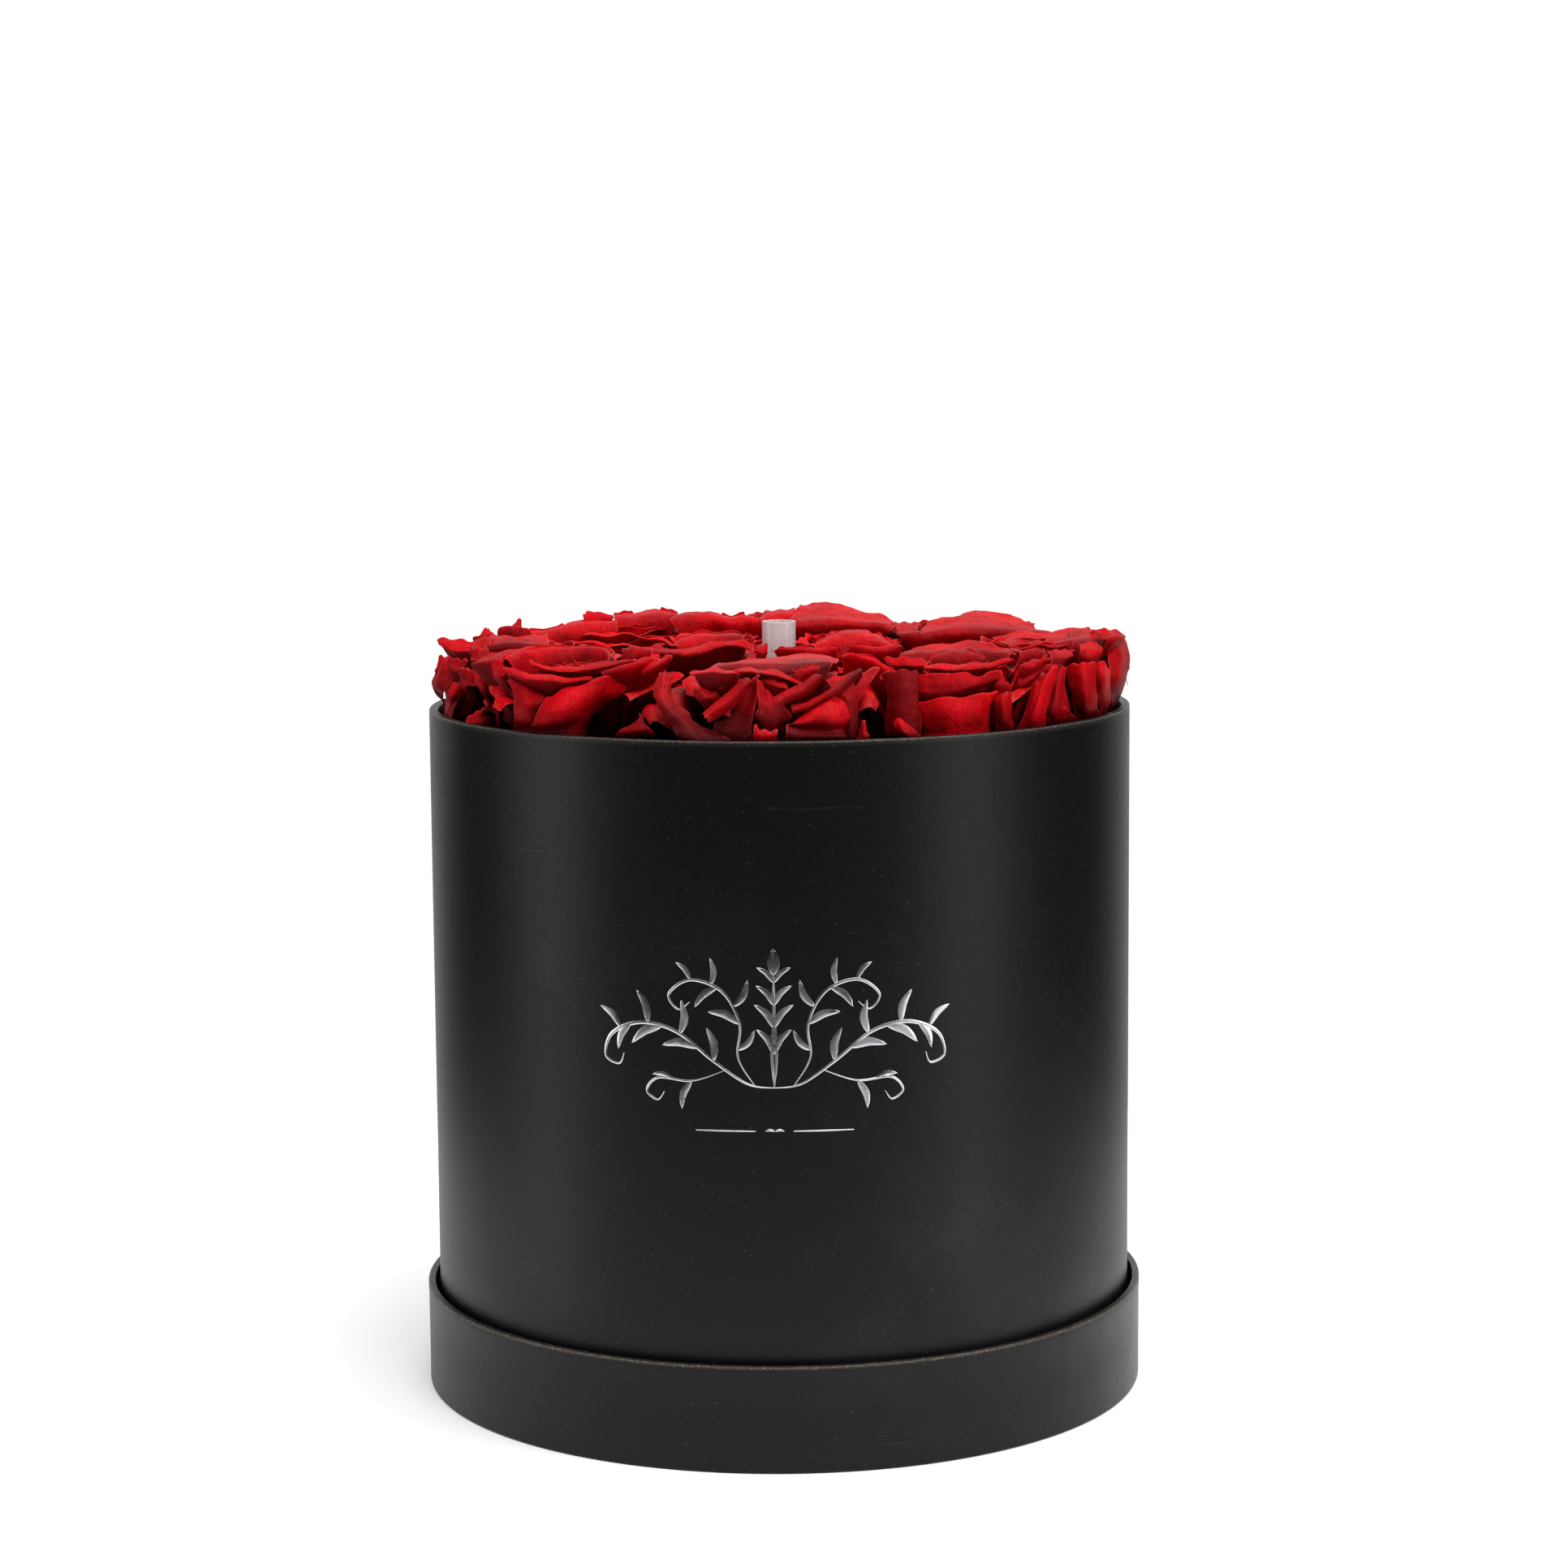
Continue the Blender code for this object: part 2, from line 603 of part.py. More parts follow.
def make_atomiser(finishes, box, tube):
    """The nebulising head over the bottle, its jet and dip tube, the outlet tube and its seal ring."""
    thread = NECK_RADIUS + THREAD_GAP
    skirt_base = BOTTLE_BASE + BOTTLE_BODY + 0.0010
    bore = TUBE_RADIUS + CONTACT
    shelf = TUBE_RADIUS - TUBE_WALL
    dip_hole = DIP_TUBE_RADIUS + CONTACT
    body = [
        (thread, skirt_base),
        (ATOMISER_RADIUS, skirt_base),
        (ATOMISER_RADIUS, COVER_BASE - CONTACT),
        (SPOUT_RADIUS, COVER_BASE - CONTACT),
        (SPOUT_RADIUS, SPOUT_TOP),
        (bore, SPOUT_TOP),
        (bore, TUBE_SHELF),
        (shelf, TUBE_SHELF),
        (shelf, SOCKET_BASE),
        (CHAMBER_RADIUS, SOCKET_BASE),
        (CHAMBER_RADIUS, WEB_TOP),
        (dip_hole, WEB_TOP),
        (dip_hole, WEB_BASE),
        (thread, WEB_BASE),
    ]
    atomiser = turned("atomiser_body", body, MEDIUM_STEPS, finishes["white"], box)
    inlet = hose_inlet()
    cut(atomiser, rod_cutter(HOSE_BARB + CONTACT, inlet - X_AXIS * 0.003, inlet + X_AXIS * 0.010))
    jet = [
        (0.0007, WEB_TOP + CONTACT),
        (0.0060, WEB_TOP + CONTACT),
        (0.0060, WEB_TOP + 0.0020),
        (0.0025, WEB_TOP + 0.0070),
        (0.0007, WEB_TOP + 0.0070),
    ]
    turned("atomiser_jet", jet, SMALL_STEPS, finishes["brass"], box)
    dip = ring(DIP_TUBE_BORE, DIP_TUBE_RADIUS, BOTTLE_BASE + 0.0060, WEB_TOP)
    turned("dip_tube", dip, TINY_STEPS, finishes["clear"], box)
    outlet = ring(TUBE_RADIUS - TUBE_WALL, TUBE_RADIUS, TUBE_BASE, TUBE_TOP)
    turned("outlet_tube", outlet, MEDIUM_STEPS, finishes["clear"], tube)
    seal_top = SPOUT_TOP + CONTACT + 0.0016
    seal = ring(TUBE_RADIUS + CONTACT, SPOUT_RADIUS - CONTACT, SPOUT_TOP + CONTACT, seal_top)
    turned("tube_seal", seal, MEDIUM_STEPS, finishes["rubber"], box)


def make_bottle(finishes, gasket, bottle):
    """The oil bottle and the gasket on its mouth."""
    neck_bore = NECK_RADIUS - BOTTLE_GLASS
    shoulder = BOTTLE_BASE + BOTTLE_BODY
    glass = [
        (0, BOTTLE_BASE),
        (BOTTLE_RADIUS, BOTTLE_BASE),
        (BOTTLE_RADIUS, shoulder - 0.0040),
        (NECK_RADIUS + 0.0020, shoulder),
        (NECK_RADIUS, shoulder),
        (NECK_RADIUS, BOTTLE_MOUTH),
        (neck_bore, BOTTLE_MOUTH),
        (neck_bore, shoulder - 0.0010),
        (BOTTLE_RADIUS - BOTTLE_GLASS, shoulder - 0.0060),
        (BOTTLE_RADIUS - BOTTLE_GLASS, BOTTLE_BASE + BOTTLE_GLASS),
        (0, BOTTLE_BASE + BOTTLE_GLASS),
    ]
    turned("oil_bottle", glass, MEDIUM_STEPS, finishes["glass"], bottle)
    washer = ring(DIP_TUBE_RADIUS + 0.0010, NECK_RADIUS, GASKET_BASE, GASKET_BASE + GASKET_THICKNESS)
    turned("bottle_gasket", washer, MEDIUM_STEPS, finishes["rubber"], gasket)


def make_power(finishes, box):
    """The battery in its cradle and the main board with its parts."""
    cell_base = MODULE_FLOOR + 0.0020
    axis = Vector((SIDE_OFFSET, 0, 0))
    turned(
        "battery_cell",
        disc(BATTERY_RADIUS, cell_base, cell_base + BATTERY_LENGTH),
        SMALL_STEPS,
        finishes["cell"],
        box,
        axis,
    )
    cradle_low = MODULE_FLOOR + CONTACT
    cradle_high = cell_base + BATTERY_LENGTH * 0.7
    size = (0.0060, 0.0180, cradle_high - cradle_low)
    cradle_middle = (SIDE_OFFSET - BATTERY_RADIUS, 0, (cradle_low + cradle_high) / 2)
    cradle = block("battery_cradle", size, cradle_middle, finishes["white"], box)
    hollow = BATTERY_RADIUS + CONTACT
    start, end = axis + Z_AXIS * (cell_base - CONTACT), axis + Z_AXIS * (cradle_high + 0.01)
    cut(cradle, rod_cutter(hollow, start, end, SMALL_STEPS))
    board_y = -0.0270
    board_low = MODULE_FLOOR + 0.0010
    tall = 0.0540
    board_size = (0.0340, BOARD_THICKNESS, tall)
    block("main_board", board_size, (0, board_y, board_low + tall / 2), finishes["circuit"], box)
    chip_back = board_y + BOARD_THICKNESS / 2 + CONTACT
    chip_place = (0, chip_back + CHIP_SIZE[1] / 2, board_low + tall * 0.35)
    block("control_chip", CHIP_SIZE, chip_place, finishes["shell"], box)


def make_pump(finishes, box, crank):
    """The air pump: rubber boot, motor, crankcase, crank, diaphragm and valve head, and the air hose."""
    axis = Vector((-SIDE_OFFSET, 0, 0))
    motor_low = MODULE_FLOOR + 0.0040
    motor_high = motor_low + MOTOR_LENGTH
    boot_top = motor_low + MOTOR_LENGTH * 0.6
    boot = [
        (0, MODULE_FLOOR + CONTACT),
        (MOTOR_RADIUS + 0.0022, MODULE_FLOOR + CONTACT),
        (MOTOR_RADIUS + 0.0022, boot_top),
        (MOTOR_RADIUS + CONTACT, boot_top),
        (MOTOR_RADIUS + CONTACT, motor_low - CONTACT),
        (0, motor_low - CONTACT),
    ]
    turned("pump_boot", boot, SMALL_STEPS, finishes["rubber"], box, axis)
    motor = [
        (0, motor_low),
        (MOTOR_RADIUS, motor_low),
        (MOTOR_RADIUS, motor_high),
        (CRANK_SHAFT + CONTACT, motor_high),
        (CRANK_SHAFT + CONTACT, motor_high - 0.0060),
        (0, motor_high - 0.0060),
    ]
    turned("pump_motor", motor, SMALL_STEPS, finishes["steel"], box, axis)
    make_crank(finishes, crank, axis, motor_high)
    case_low = motor_high + CONTACT
    case_high = case_low + 0.0120
    case_middle = (case_low + case_high) / 2
    case_size = (PUMP_SIDE, PUMP_SIDE, case_high - case_low)
    case = block("pump_crankcase", case_size, axis + Z_AXIS * case_middle, finishes["shell"], box)
    room_low, room_high = axis + Z_AXIS * (case_low + 0.0015), axis + Z_AXIS * (case_high + 0.01)
    shaft_low, shaft_high = axis + Z_AXIS * (case_low - 0.01), axis + Z_AXIS * case_middle
    cut(
        case,
        rod_cutter(CRANK_RADIUS + 0.0020, room_low, room_high, SMALL_STEPS),
        rod_cutter(CRANK_SHAFT + CONTACT, shaft_low, shaft_high),
    )
    membrane = disc(PUMP_SIDE / 2 - 0.0005, case_high + CONTACT, case_high + CONTACT + 0.0012)
    turned("pump_diaphragm", membrane, SMALL_STEPS, finishes["rubber"], box, axis)
    head_low = case_high + 2 * CONTACT + 0.0012
    head_high = head_low + 0.0080
    bm = bmesh.new()
    head_size = (PUMP_SIDE, PUMP_SIDE, head_high - head_low)
    block_into(bm, head_size, (0, 0, (head_low + head_high) / 2))
    head = add("pump_valve_head", bm, finishes["white"], box, axis)
    barb = rod_cutter(HOSE_BARB, axis + Z_AXIS * (head_high - 0.002), axis + Z_AXIS * (head_high + 0.005))
    barb_join = head.modifiers.new("barb", "BOOLEAN")
    barb_join.operation = "UNION"
    barb_join.object = barb
    barb.hide_render = True
    barb.display_type = "WIRE"
    start = axis + Z_AXIS * (head_high + 0.005 + CONTACT)
    end = hose_inlet() - X_AXIS * CONTACT
    lift = X_AXIS * -0.006
    hose = [start, start + Z_AXIS * 0.005, (start + end) / 2 + lift * 0.3 + Z_AXIS * 0.002, end + lift, end]
    pipe("air_hose", HOSE_RADIUS, hose, finishes["rubber"], box)


def hose_inlet():
    """Where the air hose meets the atomiser's side."""
    return Vector((-ATOMISER_RADIUS, 0, WEB_TOP + 0.0050))


def make_crank(finishes, crank, axis, motor_top):
    """The pump's turning crank: shaft, disc and off-centre pin."""
    disc_low = motor_top + CONTACT + 0.0025
    outline = [
        (0, motor_top - 0.0050),
        (CRANK_SHAFT, motor_top - 0.0050),
        (CRANK_SHAFT, disc_low),
        (CRANK_RADIUS, disc_low),
        (CRANK_RADIUS, disc_low + 0.0030),
        (0, disc_low + 0.0030),
    ]
    piece = turned("pump_crank", outline, SMALL_STEPS, finishes["steel"], crank, axis)
    pin_foot = axis + Vector((CRANK_RADIUS * 0.5, 0, disc_low + 0.0010))
    pin = rod_cutter(0.0009, pin_foot, pin_foot + Z_AXIS * 0.0045)
    pin.hide_render = True
    pin.display_type = "WIRE"
    join = piece.modifiers.new("pin", "BOOLEAN")
    join.operation = "UNION"
    join.object = pin


def make_cable(finishes, box):
    """The lead from the diffuser to the rear port."""
    start = Vector((0, MODULE_INNER - 0.0040, CABLE_EXIT))
    end = Vector((0, PORT_CORE_BACK - CONTACT, PORT_HEIGHT))
    route = [
        start,
        start + Y_AXIS * 0.0100,
        start.lerp(end, 0.45) + Vector((0.0030, 0, -0.0060)),
        start.lerp(end, 0.65) + Vector((0.0030, 0, 0.0040)),
        end - Y_AXIS * 0.0070,
        end,
    ]
    pipe("port_cable", CABLE_RADIUS, route, finishes["cable"], box)


# ---------------------------------------------------------------- flower tray
def rose_places():
    """(name, axis point, head radius) of each rose, the ring at the wall first."""
    places = []
    for step in range(OUTER_ROSES):
        angle = OUTER_ROSE_TURN + math.tau * step / OUTER_ROSES
        places.append((f"rose_outer_{step + 1}", around(OUTER_ROSE_CIRCLE, angle), OUTER_ROSE_RADIUS))
    for step in range(INNER_ROSES):
        angle = INNER_ROSE_TURN + math.tau * step / INNER_ROSES
        places.append((f"rose_inner_{step + 1}", around(INNER_ROSE_CIRCLE, angle), INNER_ROSE_RADIUS))
    return places


def make_tray(finishes, tray):
    """The lift-out disc, its foam block and the bush that the outlet tube passes through."""
    tray_disc = ring(GUIDE_HOLE, TRAY_RADIUS, TRAY_BASE, TRAY_BASE + TRAY_DISC)
    turned("tray_disc", tray_disc, LARGE_STEPS, finishes["board"], tray)
    foam = turned(
        "foam_block", ring(GUIDE_HOLE, FOAM_RADIUS, FOAM_BASE, FOAM_TOP), LARGE_STEPS, finishes["foam"], tray
    )
    for _, axis, _ in rose_places():
        hole = STEM_RADIUS + STEM_CLEARANCE
        hole_base = FOAM_TOP - STEM_LENGTH - 2 * CONTACT
        cut(foam, rod_cutter(hole, axis + Z_AXIS * hole_base, axis + Z_AXIS * (FOAM_TOP + 0.01), 8))
    bush = [
        (GUIDE_BORE, TRAY_BASE),
        (GUIDE_RADIUS, TRAY_BASE),
        (GUIDE_RADIUS, FLANGE_BASE),
        (GUIDE_RADIUS + GUIDE_FLANGE, FLANGE_BASE),
        (GUIDE_RADIUS + GUIDE_FLANGE, FLANGE_BASE + FLANGE_THICKNESS),
        (GUIDE_BORE, FLANGE_BASE + FLANGE_THICKNESS),
    ]
    turned("tube_guide", bush, MEDIUM_STEPS, finishes["shell"], tray)


def rose_outline(radius, height):
    """The outline of a cut rose: its stem, its calyx, and a cupped head of that radius and height."""
    calyx = CALYX_RADIUS * radius / OUTER_ROSE_RADIUS
    return [
        (0, -STEM_LENGTH),
        (STEM_RADIUS, -STEM_LENGTH),
        (STEM_RADIUS, 0),
        (calyx * 0.8, CALYX_HEIGHT * 0.4),
        (calyx, CALYX_HEIGHT),
        (radius * 0.76, CALYX_HEIGHT + height * 0.22),
        (radius * 0.95, CALYX_HEIGHT + height * 0.50),
        (radius, CALYX_HEIGHT + height * 0.82),
        (radius * 0.90, CALYX_HEIGHT + height * 0.96),
        (radius * 0.45, CALYX_HEIGHT + height),
        (0, CALYX_HEIGHT + height * 0.97),
    ]


def make_roses(finishes, tray):
    """The cut roses, each with its stem in the foam."""
    for name, axis, radius in rose_places():
        outline = rose_outline(radius, ROSE_HEIGHT)
        turned(name, outline, SMALL_STEPS, finishes["petal"], tray, axis + Z_AXIS * CALYX_BASE)


# ---------------------------------------------------------------- assembly
def main():
    """Builds the flower box from the stand up."""
    clear_scene()
    finishes = make_finishes()
    stand = body_pivot("body_stand")
    box = body_pivot("body_box", parent=stand)
    tray = body_pivot("body_tray", parent=box)
    tube = body_pivot("body_tube", parent=box)
    gasket = body_pivot("body_gasket", parent=box)
    bottle = body_pivot("body_bottle", parent=gasket)
    crank = body_pivot("body_crank", at=(-SIDE_OFFSET, 0, 0), parent=box)
    button = body_pivot("body_button", at=(0, PORT_FACE, BUTTON_HEIGHT), parent=box)
    make_stand(finishes, stand)
    make_box(finishes, box)
    make_port(finishes, box, button)
    make_module_case(finishes, box)
    make_atomiser(finishes, box, tube)
    make_bottle(finishes, gasket, bottle)
    make_power(finishes, box)
    make_pump(finishes, box, crank)
    make_cable(finishes, box)
    make_tray(finishes, tray)
    make_roses(finishes, tray)


main()
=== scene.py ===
"""The looks of a round flower box: black wrapped board, preserved red roses and a clear scent outlet."""

import logging
import math
from dataclasses import dataclass, field
from enum import Enum
from random import Random

import bmesh
import bpy
import numpy as np
from mathutils import Matrix, Vector, noise

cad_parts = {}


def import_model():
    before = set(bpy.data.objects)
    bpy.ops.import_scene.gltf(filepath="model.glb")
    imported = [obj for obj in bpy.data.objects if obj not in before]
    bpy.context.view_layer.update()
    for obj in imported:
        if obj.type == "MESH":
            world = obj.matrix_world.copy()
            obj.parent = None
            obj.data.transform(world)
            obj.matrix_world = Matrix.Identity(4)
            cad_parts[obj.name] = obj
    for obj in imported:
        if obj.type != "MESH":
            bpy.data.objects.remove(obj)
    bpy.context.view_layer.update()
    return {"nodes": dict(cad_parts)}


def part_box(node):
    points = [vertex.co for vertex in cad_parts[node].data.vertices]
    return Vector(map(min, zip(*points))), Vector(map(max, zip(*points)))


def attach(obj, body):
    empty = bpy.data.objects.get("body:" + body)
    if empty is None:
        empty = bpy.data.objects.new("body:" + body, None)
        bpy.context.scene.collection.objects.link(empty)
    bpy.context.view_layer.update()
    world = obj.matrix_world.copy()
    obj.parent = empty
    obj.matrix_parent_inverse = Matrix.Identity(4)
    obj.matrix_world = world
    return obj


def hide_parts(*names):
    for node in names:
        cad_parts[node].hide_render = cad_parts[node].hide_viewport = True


LOG = logging.getLogger("flower_box")
NOISE_SEED = 5
SPRIG_SIDE = -0.0020
SPRIG_SHARE = 0.593
MM = 0.001
Point = tuple[float, float]
Colour = tuple[float, float, float]


# ---------------------------------------------------------------- small tools
def smoothstep(low: float, high: float, value: float) -> float:
    """A soft step from 0 at low to 1 at high."""
    share = min(1.0, max(0.0, (value - low) / (high - low)))
    return share * share * (3 - 2 * share)


def around(radius: float, degrees: float, height: float = 0.0) -> Vector:
    """The point at that radius, angle and height about the box's axis."""
    angle = math.radians(degrees)
    return Vector((radius * math.cos(angle), radius * math.sin(angle), height))


def grid_faces(rows: int, columns: int, start: int = 0, closed: bool = False) -> list[tuple[int, ...]]:
    """Quads between the points of a grid stored row by row.

    Args:
        rows: How many rows of points there are.
        columns: How many points a row has.
        start: The index of the first point.
        closed: Whether each row's end joins its start.

    Returns:
        One tuple of four point indices per quad.
    """
    faces = []
    for row in range(rows - 1):
        for column in range(columns if closed else columns - 1):
            after = (column + 1) % columns
            low, high = start + row * columns, start + (row + 1) * columns
            faces.append((low + column, low + after, high + after, high + column))
    return faces


@dataclass
class Shape:
    """Points, faces and what is painted on them, gathered before they become one mesh."""

    points: list[Vector] = field(default_factory=list)
    faces: list[tuple[int, ...]] = field(default_factory=list)
    slots: list[int] = field(default_factory=list)
    marks: dict[str, list[float]] = field(default_factory=dict)

    def add(
        self,
        points: list[Vector],
        faces: list[tuple[int, ...]],
        slot: int = 0,
        marks: dict[str, list[float]] | None = None,
    ) -> None:
        """Adds a patch of points and faces, whose indices start at its own first point.

        Args:
            points: The patch's points.
            faces: Its faces, as indices into its own points.
            slot: The material slot of its faces.
            marks: Numbers painted on its points, by name.
        """
        start = len(self.points)
        self.points.extend(points)
        self.faces.extend(tuple(start + index for index in face) for face in faces)
        self.slots.extend([slot] * len(faces))
        for name in sorted({*self.marks, *(marks or {})}):
            kept = self.marks.setdefault(name, [0.0] * start)
            kept.extend((marks or {}).get(name, [0.0] * len(points)))

    def lathe(self, outline: list[Point], steps: int, slot: int = 0, at: Vector = Vector()) -> None:
        """Adds a closed ring turned about an upright axis.

        Args:
            outline: The closed outline, as (radius, height) points.
            steps: How many steps there are in a turn.
            slot: The material slot.
            at: A point on the axis.
        """
        points = [
            at + around(radius, 360 * step / steps, height)
            for radius, height in outline
            for step in range(steps)
        ]
        faces = grid_faces(len(outline), steps, closed=True)
        last = (len(outline) - 1) * steps
        faces += [
            (last + step, last + (step + 1) % steps, (step + 1) % steps, step) for step in range(steps)
        ]
        self.add(points, faces, slot)


def make_piece(
    name: str, shape: Shape, finishes: list[bpy.types.Material], sharp: float = 40.0
) -> bpy.types.Object:
    """Turns a shape into a smooth-shaded object.

    Args:
        name: The piece's name.
        shape: Its points and faces.
        finishes: Its materials, in the order of the shape's slots.
        sharp: The angle in degrees above which an edge stays sharp.

    Returns:
        The new object, linked to the scene.
    """
    mesh = bpy.data.meshes.new(name)
    mesh.from_pydata([tuple(point) for point in shape.points], [], shape.faces)
    mesh.polygons.foreach_set("material_index", shape.slots)
    for mark, values in shape.marks.items():
        layer = mesh.attributes.new(mark, "FLOAT", "POINT")
        layer.data.foreach_set("value", values)
    mesh.update()
    mesh.shade_smooth()
    mesh.set_sharp_from_angle(angle=math.radians(sharp))
    for made in finishes:
        mesh.materials.append(made)
    piece = bpy.data.objects.new(name, mesh)
    bpy.context.scene.collection.objects.link(piece)
    return piece


def face_out(piece: bpy.types.Object) -> None:
    """Makes a closed piece's faces point outwards.

    Args:
        piece: The piece whose mesh is put right.
    """
    bm = bmesh.new()
    bm.from_mesh(piece.data)
    bmesh.ops.recalc_face_normals(bm, faces=bm.faces)
    bm.to_mesh(piece.data)
    bm.free()


def carve(piece: bpy.types.Object, cutters: list[Shape]) -> None:
    """Cuts closed shapes out of a piece for good.

    Args:
        piece: The piece that is cut.
        cutters: What is cut out of it.
    """
    for cutter in cutters:
        tool = make_piece("carving_tool", cutter, [])
        face_out(tool)
        change = piece.modifiers.new("carve", "BOOLEAN")
        change.operation = "DIFFERENCE"
        change.object = tool
        bpy.context.view_layer.update()
        cut = bpy.data.meshes.new_from_object(piece.evaluated_get(bpy.context.evaluated_depsgraph_get()))
        piece.modifiers.clear()
        piece.data = cut
        bpy.data.objects.remove(tool)
    piece.data.shade_smooth()
    piece.data.set_sharp_from_angle(angle=math.radians(40))


def brick(low: Vector, high: Vector) -> Shape:
    """Makes a rectangular block.

    Args:
        low: The lowest corner.
        high: The highest corner.

    Returns:
        The closed block.
    """
    shape = Shape()
    corners = [Vector((x, y, z)) for z in (low.z, high.z) for y in (low.y, high.y) for x in (low.x, high.x)]
    faces = [(0, 2, 3, 1), (4, 5, 7, 6), (0, 1, 5, 4), (2, 6, 7, 3), (0, 4, 6, 2), (1, 3, 7, 5)]
    shape.add(corners, faces)
    return shape


# ---------------------------------------------------------------- finishes
class Nodes:
    """A short way to wire one material's shader nodes."""

    def __init__(self, name: str) -> None:
        """Starts a material with a bare Principled shader.

        Args:
            name: The material's name.
        """
        self.material = bpy.data.materials.new(name)
        self.material.use_nodes = True
        self.tree = self.material.node_tree
        self.shader = self.tree.nodes["Principled BSDF"]

    def add(self, kind: str, **settings: object) -> bpy.types.Node:
        """Adds a node.

        Args:
            kind: The node's type.
            settings: Values where they are named like inputs, else the node's own properties.

        Returns:
            The new node.
        """
        node = self.tree.nodes.new(kind)
        for key, value in settings.items():
            name = key.replace("_", " ").title()
            if name in node.inputs:
                node.inputs[name].default_value = value
            else:
                setattr(node, key, value)
        return node

    def link(self, out: bpy.types.NodeSocket, into: bpy.types.NodeSocket) -> None:
        """Joins an output to an input."""
        self.tree.links.new(out, into)

    def set(self, **values: object) -> None:
        """Sets values on the Principled shader's own sockets."""
        for key, value in values.items():
            self.shader.inputs[key.replace("_", " ")].default_value = value

    def place(self, scale: Point | tuple[float, float, float] = (1.0, 1.0, 1.0)) -> bpy.types.NodeSocket:
        """Adds the object's own coordinates, stretched.

        Args:
            scale: The stretch along each axis.

        Returns:
            The coordinates.
        """
        mapping = self.add("ShaderNodeMapping")
        mapping.inputs["Scale"].default_value = scale
        self.link(self.add("ShaderNodeTexCoord").outputs["Object"], mapping.inputs["Vector"])
        return mapping.outputs["Vector"]

    def noise(
        self, vector: bpy.types.NodeSocket, scale: float, detail: float = 4.0, roughness: float = 0.5
    ) -> bpy.types.NodeSocket:
        """Adds a noise texture.

        Args:
            vector: Where it is read.
            scale: How fine it is, in swells per metre.
            detail: How many finer layers it has.
            roughness: How strong the finer layers are.

        Returns:
            A value from 0 to 1.
        """
        node = self.add("ShaderNodeTexNoise", scale=scale, detail=detail, roughness=roughness)
        self.link(vector, node.inputs["Vector"])
        return node.outputs["Fac"]

    def mark(self, name: str) -> bpy.types.NodeSocket:
        """A number painted on the mesh."""
        return self.add("ShaderNodeAttribute", attribute_name=name).outputs["Fac"]

    def ramp(
        self, value: bpy.types.NodeSocket, low: float, high: float, start: float = 0.0, end: float = 1.0
    ) -> bpy.types.NodeSocket:
        """Maps a range of values softly to another one.

        Args:
            value: What is mapped.
            low: The value that becomes start.
            high: The value that becomes end.
            start: The result at and below low.
            end: The result at and above high.

        Returns:
            The mapped value.
        """
        node = self.add("ShaderNodeMapRange", interpolation_type="SMOOTHSTEP")
        self.link(value, node.inputs["Value"])
        for key, number in (("From Min", low), ("From Max", high), ("To Min", start), ("To Max", end)):
            node.inputs[key].default_value = number
        return node.outputs["Result"]

    def math(
        self, operation: str, a: bpy.types.NodeSocket | float, b: bpy.types.NodeSocket | float = 0.0
    ) -> bpy.types.NodeSocket:
        """Adds a calculation on one or two numbers.

        Args:
            operation: The calculation's name.
            a: The first number.
            b: The second number.

        Returns:
            The result.
        """
        node = self.add("ShaderNodeMath", operation=operation)
        for socket, value in zip(node.inputs, (a, b)):
            if isinstance(value, bpy.types.NodeSocket):
                self.link(value, socket)
            else:
                socket.default_value = value
        return node.outputs[0]

    def blend(
        self,
        share: bpy.types.NodeSocket,
        first: Colour | bpy.types.NodeSocket,
        second: Colour | bpy.types.NodeSocket,
    ) -> bpy.types.NodeSocket:
        """Mixes two colours.

        Args:
            share: How much of the second colour there is.
            first: The colour at 0.
            second: The colour at 1.

        Returns:
            The mixed colour.
        """
        node = self.add("ShaderNodeMix", data_type="RGBA")
        self.link(share, node.inputs["Factor"])
        for key, colour in (("A", first), ("B", second)):
            socket = [s for s in node.inputs if s.name == key and s.type == "RGBA"][0]
            if isinstance(colour, bpy.types.NodeSocket):
                self.link(colour, socket)
            else:
                socket.default_value = (*colour, 1.0)
        return [s for s in node.outputs if s.type == "RGBA"][0]

    def bump(
        self,
        height: bpy.types.NodeSocket,
        distance: float,
        strength: float = 1.0,
        under: bpy.types.NodeSocket | None = None,
    ) -> bpy.types.NodeSocket:
        """Adds a bump.

        Args:
            height: The pattern that is pressed in.
            distance: Its depth in metres.
            strength: How much of it shows.
            under: The bump that it lies on.

        Returns:
            The shading normal.
        """
        node = self.add("ShaderNodeBump", strength=strength, distance=distance)
        self.link(height, node.inputs["Height"])
        if under is not None:
            self.link(under, node.inputs["Normal"])
        return node.outputs["Normal"]

    def colour(self, socket: bpy.types.NodeSocket) -> None:
        """Wires the base colour."""
        self.link(socket, self.shader.inputs["Base Color"])

    def rough(self, socket: bpy.types.NodeSocket) -> None:
        """Wires the roughness."""
        self.link(socket, self.shader.inputs["Roughness"])

    def normal(self, socket: bpy.types.NodeSocket) -> None:
        """Wires the shading normal."""
        self.link(socket, self.shader.inputs["Normal"])


